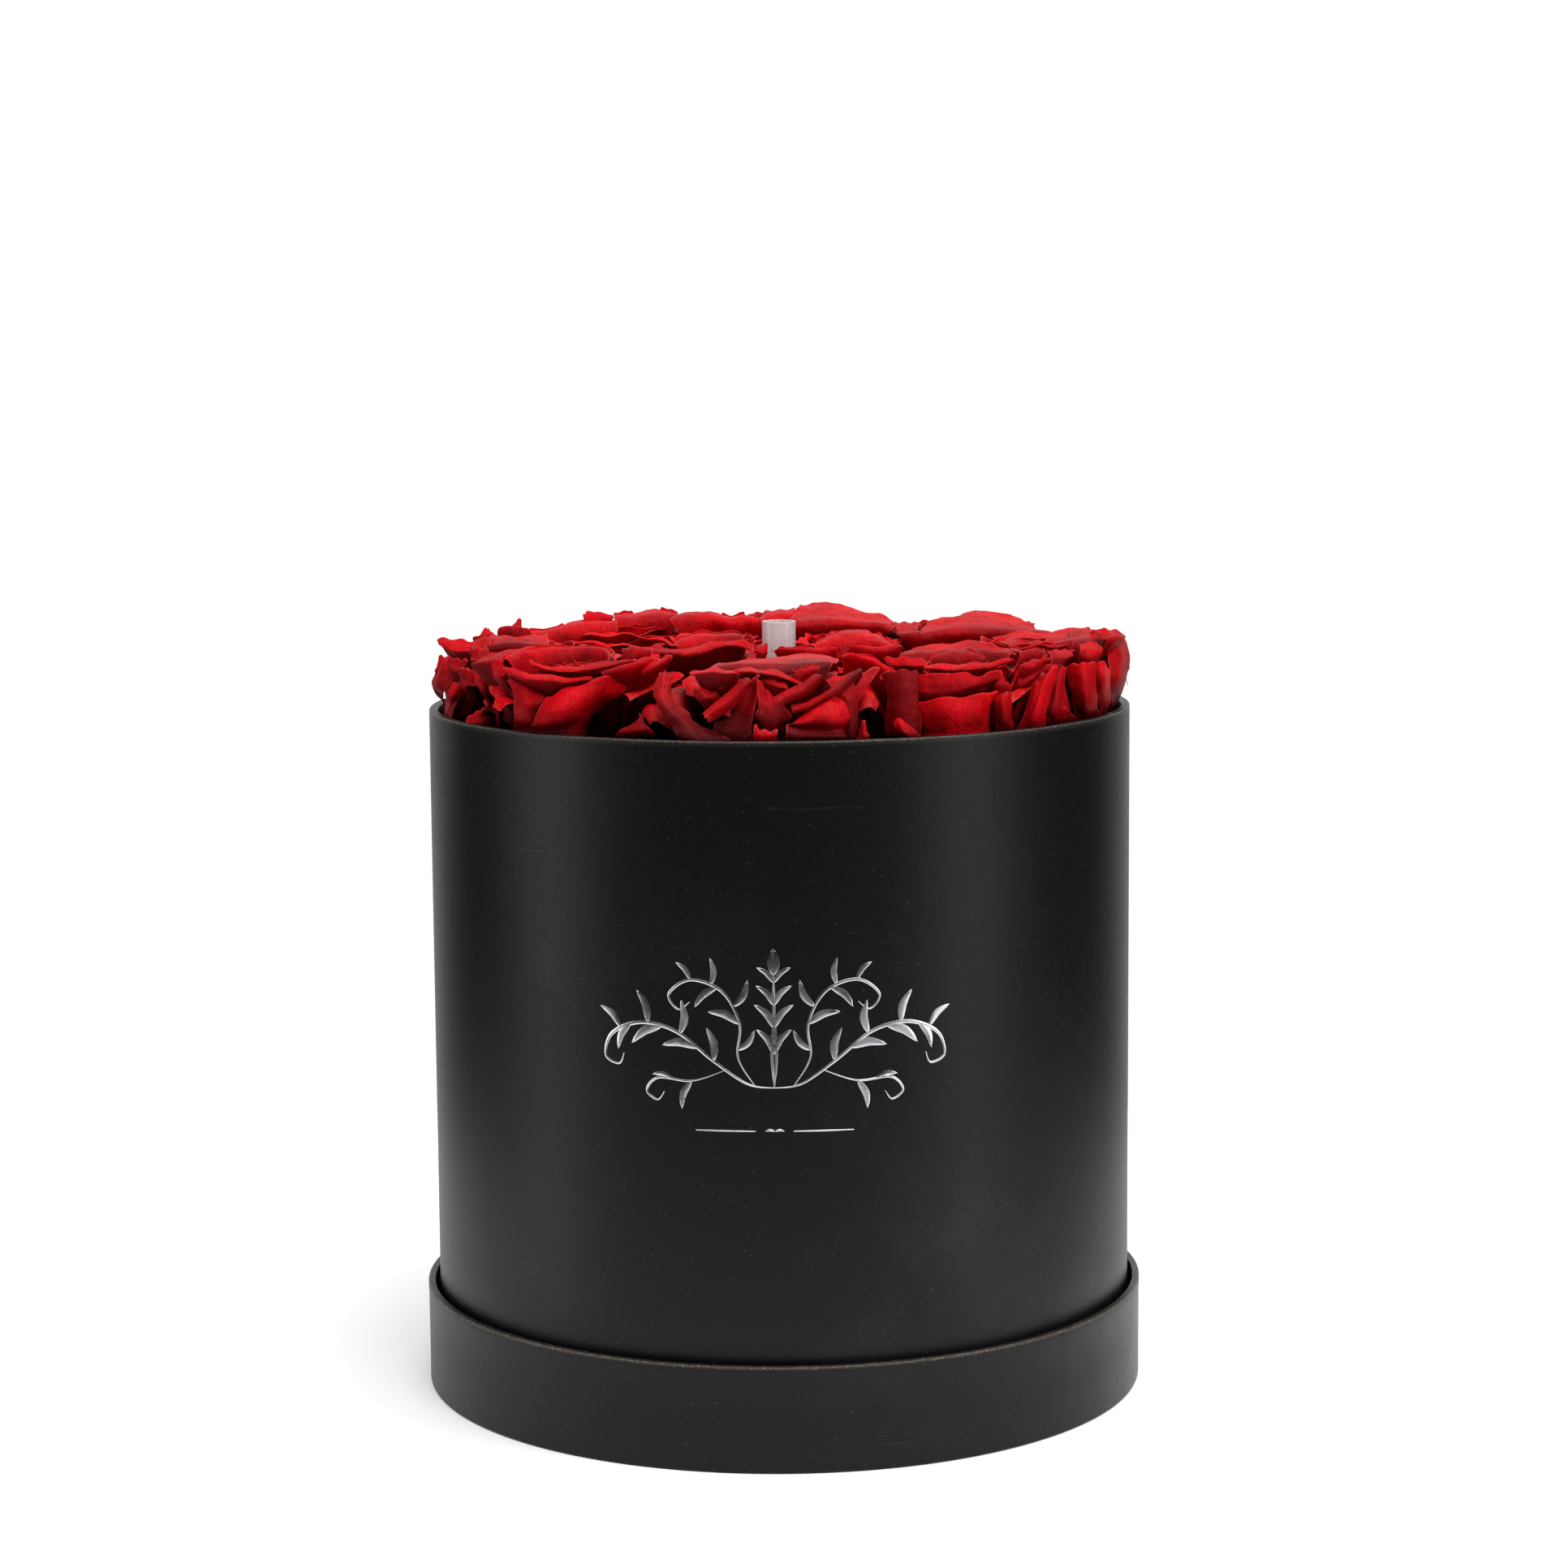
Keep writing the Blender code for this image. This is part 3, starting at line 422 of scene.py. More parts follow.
@dataclass(frozen=True)
class PlainFinish:
    """A moulded, cast or pressed material: two close colours, a mottled roughness and a fine grain."""

    name: str
    low: Colour
    high: Colour
    roughness: float
    metallic: float = 0.0
    grain: float = 900.0
    depth: float = 0.00002
    stretch: tuple[float, float, float] = (1.0, 1.0, 1.0)

    def build(self) -> bpy.types.Material:
        """Makes the material.

        Returns:
            The finished material.
        """
        nodes = Nodes(self.name)
        place = nodes.place(self.stretch)
        cloud = nodes.noise(place, self.grain / 12, 3.0)
        fine = nodes.noise(place, self.grain, 3.0)
        nodes.colour(nodes.blend(cloud, self.low, self.high))
        nodes.rough(nodes.ramp(fine, 0.3, 0.7, self.roughness * 0.85, self.roughness * 1.15))
        nodes.normal(nodes.bump(fine, self.depth))
        nodes.set(Metallic=self.metallic)
        return nodes.material


@dataclass(frozen=True)
class ClearFinish:
    """Clear or tinted plastic and glass with faint streaks."""

    name: str
    tint: Colour
    roughness: float
    transmission: float
    ior: float = 1.46
    streak: tuple[float, float, float] = (1.0, 1.0, 0.1)

    def build(self) -> bpy.types.Material:
        """Makes the material.

        Returns:
            The finished material.
        """
        nodes = Nodes(self.name)
        streaks = nodes.noise(nodes.place(self.streak), 700.0, 3.0)
        shade = tuple(channel * 0.86 for channel in self.tint)
        nodes.colour(nodes.blend(streaks, shade, self.tint))
        nodes.rough(nodes.ramp(streaks, 0.3, 0.7, self.roughness * 0.7, self.roughness * 1.3))
        nodes.normal(nodes.bump(streaks, 0.00001))
        nodes.set(Transmission_Weight=self.transmission, IOR=self.ior)
        return nodes.material


@dataclass(frozen=True)
class WrapFinish:
    """Black soft-touch paper over board: fine grain, rubbed patches, scuffs, dust and pale rim edges that are part worn
    nicks and part painted highlight.
    """

    name: str = "wrap_paper"
    black: Colour = (0.0036, 0.0036, 0.0039)
    rubbed: Colour = (0.016, 0.016, 0.0165)
    wear_and_highlight: Colour = (0.20, 0.17, 0.14)

    def build(self) -> bpy.types.Material:
        """Makes the material.

        Returns:
            The finished material.
        """
        nodes = Nodes(self.name)
        place = nodes.place()
        grain = nodes.noise(place, 2600.0, 2.0, 0.7)
        cloud = nodes.noise(place, 14.0, 5.0, 0.6)
        patches = nodes.ramp(cloud, 0.52, 0.78)
        base = nodes.blend(nodes.math("MULTIPLY", patches, 0.5), self.black, self.rubbed)
        scuffs = self.scuffs(nodes)
        base = nodes.blend(scuffs, base, (0.055, 0.054, 0.053))
        specks = nodes.ramp(nodes.noise(place, 1500.0, 1.0, 0.3), 0.74, 0.80)
        base = nodes.blend(nodes.math("MULTIPLY", specks, 0.35), base, (0.10, 0.10, 0.10))
        # Pale rim edges: the brighter nicks are wear, but the pale paint that never drops below about a quarter all
        # along each rim edge is a painted edge highlight.
        chips_and_edge_highlight = nodes.ramp(nodes.noise(place, 1500.0, 4.0, 0.7), 0.48, 0.62, 0.24, 0.85)
        edge = nodes.math("MULTIPLY", nodes.mark("edge"), chips_and_edge_highlight)
        nodes.colour(nodes.blend(edge, base, self.wear_and_highlight))
        rough = nodes.ramp(grain, 0.25, 0.75, 0.36, 0.47)
        nodes.rough(nodes.math("SUBTRACT", rough, nodes.math("MULTIPLY", patches, 0.07)))
        ripple = nodes.bump(nodes.noise(nodes.place((1.0, 1.0, 0.35)), 28.0, 2.0), 0.00035, 0.5)
        pores = nodes.bump(grain, 0.000035, 0.9, ripple)
        nodes.normal(nodes.bump(nodes.mark("edge"), 0.00006, 0.3, pores))
        nodes.set(Specular_IOR_Level=0.20, Sheen_Weight=0.0)
        return nodes.material

    def scuffs(self, nodes: Nodes) -> bpy.types.NodeSocket:
        """Long thin scratches that run mostly round the wall.

        Args:
            nodes: The material that they are added to.

        Returns:
            How strong the scratch is at each place.
        """
        warp = nodes.noise(nodes.place((6.0, 6.0, 30.0)), 1.2, 2.0)
        long = nodes.noise(nodes.place((5.0, 5.0, 160.0)), 3.1, 1.0)
        lines = nodes.math("ABSOLUTE", nodes.math("SUBTRACT", long, 0.5))
        thin = nodes.ramp(lines, 0.0, 0.006, 1.0, 0.0)
        return nodes.math("MULTIPLY", nodes.math("MULTIPLY", thin, nodes.ramp(warp, 0.60, 0.72)), 0.5)


@dataclass(frozen=True)
class PetalFinish:
    """Preserved rose petal: velvet red, darker veins, paler rims of rubbed wear and painted highlight, painted light
    near the rim, painted shade at the foot and small glossy creases.
    """

    name: str
    deep: Colour
    bright: Colour
    rim: Colour
    fade: float = 0.5
    gloss: float = 0.07

    def build(self) -> bpy.types.Material:
        """Makes the material.

        Returns:
            The finished material.
        """
        nodes = Nodes(self.name)
        place = nodes.place()
        tone = nodes.mark("tone")
        along = nodes.mark("along")
        cloud = nodes.noise(place, 55.0, 4.0, 0.6)
        # Painted light: the red is painted brighter towards the rim, as if lit through the thin petal, and each petal's
        # own value shifts it lighter or darker.
        lift = nodes.math("ADD", nodes.ramp(along, 0.30, 1.0, 0.0, 0.45), nodes.math("MULTIPLY", tone, 0.55))
        lift = nodes.math("ADD", lift, nodes.ramp(cloud, 0.3, 0.7, -0.22, 0.22))
        base = nodes.blend(nodes.ramp(lift, 0.05, 1.0), self.deep, self.bright)
        # Painted shade: towards the foot the red is painted almost black, standing in for the shade where the petals
        # crowd together.
        shade = tuple(channel * 0.10 for channel in self.deep)
        base = nodes.blend(nodes.ramp(along, 0.18, 0.62), shade, base)
        blotch = nodes.ramp(nodes.noise(place, 120.0, 5.0, 0.7), 0.50, 0.74, 0.0, 0.55)
        base = nodes.blend(blotch, base, tuple(channel * 0.55 for channel in self.deep))
        veins = self.veins(nodes)
        dark = tuple(channel * 0.45 for channel in self.deep)
        base = nodes.blend(nodes.math("MULTIPLY", veins, 0.20), base, dark)
        # Paler rims: part rubbed wear and part a painted highlight along the rolled edges; they are also made a little
        # glossier.
        rubbed = nodes.ramp(nodes.noise(place, 240.0, 5.0, 0.75), 0.40, 0.60)
        wear_and_highlight = nodes.math("MULTIPLY", nodes.mark("rim"), rubbed)
        base = nodes.blend(nodes.math("MULTIPLY", wear_and_highlight, self.fade), base, self.rim)
        nodes.colour(base)
        fine = nodes.noise(place, 1700.0, 2.0, 0.6)
        rough = nodes.ramp(fine, 0.3, 0.7, 0.44, 0.60)
        nodes.rough(nodes.math("SUBTRACT", rough, nodes.math("MULTIPLY", wear_and_highlight, 0.14)))
        crinkle = nodes.bump(nodes.noise(place, 260.0, 6.0, 0.66), 0.00110, 0.75)
        ribbed = nodes.bump(nodes.math("MULTIPLY", veins, -1.0), 0.00014, 0.6, crinkle)
        nodes.normal(nodes.bump(fine, 0.00005, 0.8, ribbed))
        nodes.set(
            Specular_IOR_Level=self.gloss,
            Sheen_Weight=0.01,
            Sheen_Roughness=0.4,
            Sheen_Tint=(1.0, 0.05, 0.05, 1.0),
        )
        return nodes.material

    def veins(self, nodes: Nodes) -> bpy.types.NodeSocket:
        """A branching net of fine lines that fans out from the petal's foot.

        Args:
            nodes: The material that it is added to.

        Returns:
            1 on a vein and 0 beside it.
        """
        across = nodes.add("ShaderNodeCombineXYZ")
        nodes.link(nodes.math("MULTIPLY", nodes.mark("across"), 7.5), across.inputs["X"])
        nodes.link(nodes.math("MULTIPLY", nodes.mark("along"), 4.2), across.inputs["Y"])
        nodes.link(nodes.math("MULTIPLY", nodes.mark("tone"), 40.0), across.inputs["Z"])
        warp = nodes.add("ShaderNodeTexNoise", scale=1.6, detail=3.0)
        nodes.link(across.outputs[0], warp.inputs["Vector"])
        shift = nodes.add("ShaderNodeVectorMath", operation="SCALE")
        nodes.link(warp.outputs["Color"], shift.inputs[0])
        shift.inputs["Scale"].default_value = 0.7
        bent = nodes.add("ShaderNodeVectorMath", operation="ADD")
        nodes.link(across.outputs[0], bent.inputs[0])
        nodes.link(shift.outputs[0], bent.inputs[1])
        cells = nodes.add("ShaderNodeTexVoronoi", feature="DISTANCE_TO_EDGE", scale=1.0)
        nodes.link(bent.outputs[0], cells.inputs["Vector"])
        return nodes.ramp(cells.outputs["Distance"], 0.0, 0.045, 1.0, 0.0)


@dataclass(frozen=True)
class FoilFinish:
    """Silver hot-stamped foil with tiny pinholes and brushed glints."""

    name: str = "silver_foil"

    def build(self) -> bpy.types.Material:
        """Makes the material.

        Returns:
            The finished material.
        """
        nodes = Nodes(self.name)
        place = nodes.place()
        cloud = nodes.noise(place, 90.0, 4.0, 0.6)
        fine = nodes.noise(place, 1900.0, 2.0, 0.6)
        nodes.colour(nodes.blend(cloud, (0.52, 0.53, 0.55), (0.80, 0.80, 0.82)))
        nodes.rough(nodes.ramp(cloud, 0.3, 0.7, 0.24, 0.40))
        nodes.normal(nodes.bump(fine, 0.00003, 0.7, nodes.bump(cloud, 0.0003, 0.4)))
        nodes.set(Metallic=1.0)
        return nodes.material


@dataclass(frozen=True)
class FoamFinish:
    """Dry floral foam: an open crumbly surface of tiny pores."""

    name: str = "floral_foam"

    def build(self) -> bpy.types.Material:
        """Makes the material.

        Returns:
            The finished material.
        """
        nodes = Nodes(self.name)
        place = nodes.place()
        pores = nodes.add("ShaderNodeTexVoronoi", scale=900.0)
        nodes.link(place, pores.inputs["Vector"])
        cloud = nodes.noise(place, 60.0, 5.0, 0.6)
        nodes.colour(nodes.blend(cloud, (0.010, 0.016, 0.009), (0.030, 0.042, 0.022)))
        nodes.rough(nodes.ramp(cloud, 0.2, 0.8, 0.85, 1.0))
        coarse = nodes.bump(cloud, 0.0008, 0.6)
        nodes.normal(nodes.bump(pores.outputs["Distance"], 0.0004, 0.9, coarse))
        return nodes.material


@dataclass(frozen=True)
class BoardFinish:
    """Grey rigid board with pressed paper fibres and layered edges."""

    name: str = "grey_board"

    def build(self) -> bpy.types.Material:
        """Makes the material.

        Returns:
            The finished material.
        """
        nodes = Nodes(self.name)
        fibres = nodes.noise(nodes.place((1.0, 1.0, 4.0)), 420.0, 6.0, 0.7)
        layers = nodes.noise(nodes.place((0.02, 0.02, 1.0)), 1400.0, 2.0)
        mixed = nodes.math("MULTIPLY", nodes.math("ADD", fibres, layers), 0.5)
        nodes.colour(nodes.blend(nodes.ramp(mixed, 0.35, 0.65), (0.085, 0.078, 0.070), (0.19, 0.175, 0.16)))
        nodes.rough(nodes.ramp(fibres, 0.3, 0.7, 0.82, 0.96))
        nodes.normal(nodes.bump(fibres, 0.00015, 0.8))
        return nodes.material


@dataclass(frozen=True)
class CircuitFinish:
    """Green circuit board: tracks under solder mask and rows of tinned pads."""

    name: str = "circuit_board"

    def build(self) -> bpy.types.Material:
        """Makes the material.

        Returns:
            The finished material.
        """
        nodes = Nodes(self.name)
        place = nodes.place()
        tracks = nodes.add("ShaderNodeTexBrick", scale=420.0, mortar_size=0.03)
        nodes.link(place, tracks.inputs["Vector"])
        pads = nodes.add("ShaderNodeTexVoronoi", scale=380.0)
        nodes.link(place, pads.inputs["Vector"])
        tinned = nodes.ramp(pads.outputs["Distance"], 0.10, 0.16, 1.0, 0.0)
        green = nodes.blend(tracks.outputs["Fac"], (0.006, 0.075, 0.022), (0.016, 0.17, 0.05))
        nodes.colour(nodes.blend(tinned, green, (0.62, 0.62, 0.60)))
        nodes.rough(nodes.ramp(tinned, 0.0, 1.0, 0.42, 0.25))
        nodes.link(tinned, nodes.shader.inputs["Metallic"])
        nodes.normal(nodes.bump(tracks.outputs["Fac"], 0.00003, 0.6))
        return nodes.material


class Red(Enum):
    """The reds that the rose heads come in."""

    FRONT = "petal_front"
    LIGHT = "petal_light"
    GLOSSY = "petal_glossy"


PETALS = {
    Red.FRONT: PetalFinish(Red.FRONT.value, (0.190, 0.0, 0.0018), (0.61, 0.0, 0.0045), (0.66, 0.045, 0.038), 0.7),
    Red.LIGHT: PetalFinish(Red.LIGHT.value, (0.245, 0.0, 0.0020), (0.63, 0.0010, 0.0055), (0.66, 0.040, 0.035), 0.4),
    Red.GLOSSY: PetalFinish(
        Red.GLOSSY.value, (0.175, 0.0, 0.0020), (0.61, 0.0, 0.0045), (0.66, 0.055, 0.048), 0.8, 0.13
    ),
}


# ---------------------------------------------------------------- petals and roses
@dataclass
class Petal:
    """One petal that stands round its rose's axis, with a rim that rolls outwards.

    The foot, waist and shoulder are (radius, height) points. The rim rolls on from the shoulder.
    """

    turn: float
    foot: Point
    waist: Point
    shoulder: Point
    lean: float
    half_width: float
    roll: float = 120.0
    roll_radius: float = 0.0018
    side_roll: float = 30.0
    drop: float = 0.006
    point: float = 0.0
    spiral: float = 0.0012
    flare: float = 0.0
    ripple: float = 0.0006
    ripples: float = 2.0
    crumple: float = 0.0003
    tone: float = 0.5
    thickness: float = 0.00038
    widest: float = 170.0

    def meridian(self, across: float, seed: float) -> list[Point]:
        """The petal's line from foot to rim at one place across it.

        Args:
            across: The place, from -1 at one side to 1 at the other.
            seed: Tells one petal's waves from another's.

        Returns:
            (radius, height) points, closer together along the rolled rim.
        """
        side = abs(across)
        wave = math.sin(across * self.ripples * math.pi + seed * 6.0)
        second = math.sin(across * (self.ripples * 1.7 + 1.0) * math.pi + seed * 11.0)
        high = self.shoulder[1] - self.drop * side**2.3 + self.point * math.exp(-((across / 0.16) ** 2))
        high += self.ripple * 0.6 * second
        wide = self.shoulder[0] + self.ripple * wave + self.flare * side**2
        lean = math.radians(self.lean - 8.0 * side)
        reach = 0.42 * (high - self.foot[1])
        a, b = Vector(self.foot), Vector(self.waist)
        d = Vector((wide, high))
        c = d - Vector((math.cos(lean), math.sin(lean))) * reach * 0.7
        line = []
        for step in range(STEM_ROWS):
            t = (step / (STEM_ROWS - 1)) ** 0.85
            point = a * (1 - t) ** 3 + b * (3 * t * (1 - t) ** 2) + c * (3 * t * t * (1 - t)) + d * t**3
            line.append((point.x, point.y))
        angle = math.radians(self.roll + self.side_roll * side**1.5 + 14.0 * wave)
        curl = self.roll_radius * (1.0 + 0.25 * second)
        spot, heading = d.copy(), lean
        part = angle / RIM_ROWS
        for _ in range(RIM_ROWS):
            heading -= part / 2
            spot += Vector((math.cos(heading), math.sin(heading))) * curl * part
            heading -= part / 2
            line.append((spot.x, spot.y))
        return line

    def add_to(self, shape: Shape, axis: Matrix, seed: float, slot: int = 0) -> None:
        """Adds the petal as a thin closed body.

        Args:
            shape: What it is added to.
            axis: Its rose's own frame.
            seed: Tells its waves and creases from another petal's.
            slot: The material slot.
        """
        spread = min(self.widest, math.degrees(self.half_width / max(self.shoulder[0], 0.001)))
        columns = max(PETAL_COLUMNS, int(spread / 6) | 1)
        rows = STEM_ROWS + RIM_ROWS
        lines = [self.meridian(-1 + 2 * c / (columns - 1), seed) for c in range(columns)]
        shift = Vector((seed * 3.1, seed * 1.7, seed * 2.3))
        points, along, across_marks, rims = [], [], [], []
        for row in range(rows):
            v = row / (rows - 1)
            for column in range(columns):
                u = -1 + 2 * column / (columns - 1)
                radius, height = lines[column][row]
                radius += self.spiral * u
                width = spread * (0.62 + 0.38 * min(1.0, row / STEM_ROWS))
                point = around(max(radius, 0.0004), self.turn + u * width, height)
                push = self.crumple * smoothstep(0.15, 0.8, v)
                point += creased(point * 95 + shift) * push + creased(point * 260 + shift) * push * 0.4
                points.append(point)
                along.append(v)
                across_marks.append(u)
                rims.append(max(smoothstep(0.86, 1.0, v), smoothstep(0.93, 1.0, abs(u)) * smoothstep(0.3, 0.7, v)))
        add_sheet(shape, axis, points, rows, columns, self.thickness, slot, along, across_marks, rims, self.tone)


def creased(place: Vector) -> Vector:
    """Makes crumpled paper's displacement, with soft swells and sharp folds.

    Args:
        place: Where it is read.

    Returns:
        The push at that place, about one unit long.
    """
    soft = noise.noise_vector(place)
    fold = 1.0 - 2.2 * abs(noise.noise(place * 0.8 + Vector((7.1, 3.3, 5.9))))
    return soft + Vector((fold, fold * 0.6, fold)) * 0.35


def add_sheet(
    shape: Shape,
    axis: Matrix,
    points: list[Vector],
    rows: int,
    columns: int,
    thickness: float,
    slot: int,
    along: list[float],
    across: list[float],
    rims: list[float],
    tone: float,
) -> None:
    """Gives a grid of points a thickness and adds it to a shape.

    Args:
        shape: What it is added to.
        axis: Places the points.
        points: The grid's middle surface, row by row.
        rows: Its rows.
        columns: Its columns.
        thickness: The sheet's thickness at its middle; its edges are thinner.
        slot: The material slot.
        along: How far up the petal each point is.
        across: How far across the petal each point is.
        rims: How near its rim each point is, where the pale rim of rubbed wear and painted highlight goes.
        tone: How light the petal's red is; drawn at random on the spiral petals and set one by one on the free ones,
            where low values are painted shade.
    """
    grid = np.array([tuple(point) for point in points]).reshape(rows, columns, 3)
    up = np.gradient(grid, axis=0)
    sideways = np.gradient(grid, axis=1)
    normal = np.cross(sideways, up)
    normal /= np.maximum(np.linalg.norm(normal, axis=2, keepdims=True), 1e-12)
    thin = np.ones((rows, columns, 1))
    thin[-1], thin[:, 0], thin[:, -1] = 0.45, 0.45, 0.45
    front = grid + normal * thickness / 2 * thin
    back = grid - normal * thickness / 2 * thin
    matrix = np.array(axis)
    placed = [
        Vector(matrix[:3, :3] @ point + matrix[:3, 3]) for side in (front, back) for point in side.reshape(-1, 3)
    ]
    count = rows * columns
    faces = grid_faces(rows, columns)
    faces += [tuple(count + index for index in reversed(face)) for face in grid_faces(rows, columns)]
    rim = [c for c in range(columns)]
    rim += [r * columns + columns - 1 for r in range(1, rows)]
    rim += [(rows - 1) * columns + c for c in range(columns - 2, -1, -1)]
    rim += [r * columns for r in range(rows - 2, 0, -1)]
    for first, second in zip(rim, rim[1:] + rim[:1]):
        faces.append((second, first, count + first, count + second))
    marks = {
        "along": along * 2,
        "across": across * 2,
        "rim": rims * 2,
        "tone": [tone] * (2 * count),
    }
    shape.add(placed, faces, slot, marks)


def along_curve(points: list[Vector], steps: int) -> list[Vector]:
    """Draws a smooth curve through points.

    Args:
        points: What the curve goes through.
        steps: How many steps there are between two points.

    Returns:
        The points along the curve.
    """
    line = []
    last = len(points) - 1
    for index in range(last):
        a, b = points[max(index - 1, 0)], points[index]
        c, d = points[index + 1], points[min(index + 2, last)]
        for step in range(steps + (index == last - 1)):
            t = step / steps
            line.append(
                0.5 * (2 * b + (c - a) * t + (2 * a - 5 * b + 4 * c - d) * t**2 + (3 * b - a - 3 * c + d) * t**3)
            )
    return line


@dataclass(frozen=True)
class Sheet:
    """One free-form petal through a net of points in millimetres from its rose's place, its rim row first."""

    # How light the red is; on some free petals it is set low as a painted shade.
    tone: float
    crumple: float
    rolled: bool
    net: tuple[tuple[tuple[float, float, float], ...], ...]
    thickness: float = 0.00030
    steps: int = 8
    curl: int = 4
    curl_radius: float = 0.00045

    def footed(self, place: Vector) -> list[list[Vector]]:
        """Sets the net at its rose, with two more rows down to the rose's heart.

        Args:
            place: Where the rose's head meets its calyx.

        Returns:
            The rows of points in metres, rim row first.
        """
        net = [[Vector(point) * MM + place for point in row] for row in self.net]
        heart = place + Vector((0, 0, HEART_HEIGHT))
        for share in (0.35, 0.8):
            net.append([point.lerp(heart, share) - Vector((0, 0, 0.003 * share)) for point in net[len(self.net) - 1]])
        return net

    def add_to(self, shape: Shape, seed: float, place: Vector) -> None:
        """Adds the petal as a thin closed body.

        Args:
            shape: What it is added to.
            seed: Tells its creases from another petal's.
            place: Where the rose's head meets its calyx.
        """
        widest = max(len(row) for row in self.net)
        across = [along_curve(row, self.steps * 6) for row in self.footed(place)]
        columns = (widest - 1) * self.steps + 1
        across = [[row[round(c * (len(row) - 1) / (columns - 1))] for c in range(columns)] for row in across]
        lines = [list(reversed(along_curve([row[c] for row in across], self.steps))) for c in range(columns)]
        if self.rolled:
            lines = [
                self.rolled_over(line, lines[min(c + 1, columns - 1)], lines[max(c - 1, 0)])
                for c, line in enumerate(lines)
            ]
        rows = len(lines[0])
        shift = Vector((seed * 3.1, seed * 1.7, seed * 2.3))
        points, along, side, rims = [], [], [], []
        for row in range(rows):
            v = row / (rows - 1)
            for column in range(columns):
                u = -1 + 2 * column / (columns - 1)
                point = lines[column][row].copy()
                push = (self.crumple * 1.3 + 0.12) * MM * (0.5 + 0.5 * v)
                point += creased(point * 120 + shift) * push + creased(point * 360 + shift) * push * 0.5
                point.z += math.sin(u * 9.0 + seed * 7.0) * 0.0004 * v**4
                points.append(point)
                along.append(v)
                side.append(u)
                rims.append(max(smoothstep(0.90, 1.0, v), 0.9 * smoothstep(0.93, 1.0, abs(u))))
        add_sheet(shape, Matrix.Identity(4), points, rows, columns, self.thickness, 0, along, side, rims, self.tone)

    def rolled_over(self, line: list[Vector], right: list[Vector], left: list[Vector]) -> list[Vector]:
        """Rolls a line's upper end over towards the box's back.

        Args:
            line: The petal's line from foot to rim.
            right: The next line on its right.
            left: The next line on its left.

        Returns:
            The line with its rolled end.
        """
        up = (line[-1] - line[-2]).normalized()
        aside = (right[-1] - left[-1]).normalized()
        back = up.cross(aside)
        back.normalize()
        if back.y < 0:
            back = -back
        turned = list(line)
        angle = math.radians(150)
        spot = line[-1].copy()
        for step in range(self.curl):
            at = angle * (step + 0.5) / self.curl
            spot = spot + (up * math.cos(at) + back * math.sin(at)) * self.curl_radius * angle / self.curl
            turned.append(spot)
        return turned


STEM_ROWS = 13
RIM_ROWS = 8
PETAL_COLUMNS = 21
SPIRAL_TURN = 137.5
SKIRT_PETALS = 5
SEPALS = 5
HEART_HEIGHT = 0.004
WALL_HALF = 58.0
GAP_HALF = 118.0
INNER_CIRCLE = 0.05
CUP = ((0.0016, -0.0040), (0.0032, -0.0032), (0.0052, -0.0007), (0.0046, 0.0012), (0.0001, 0.0016))


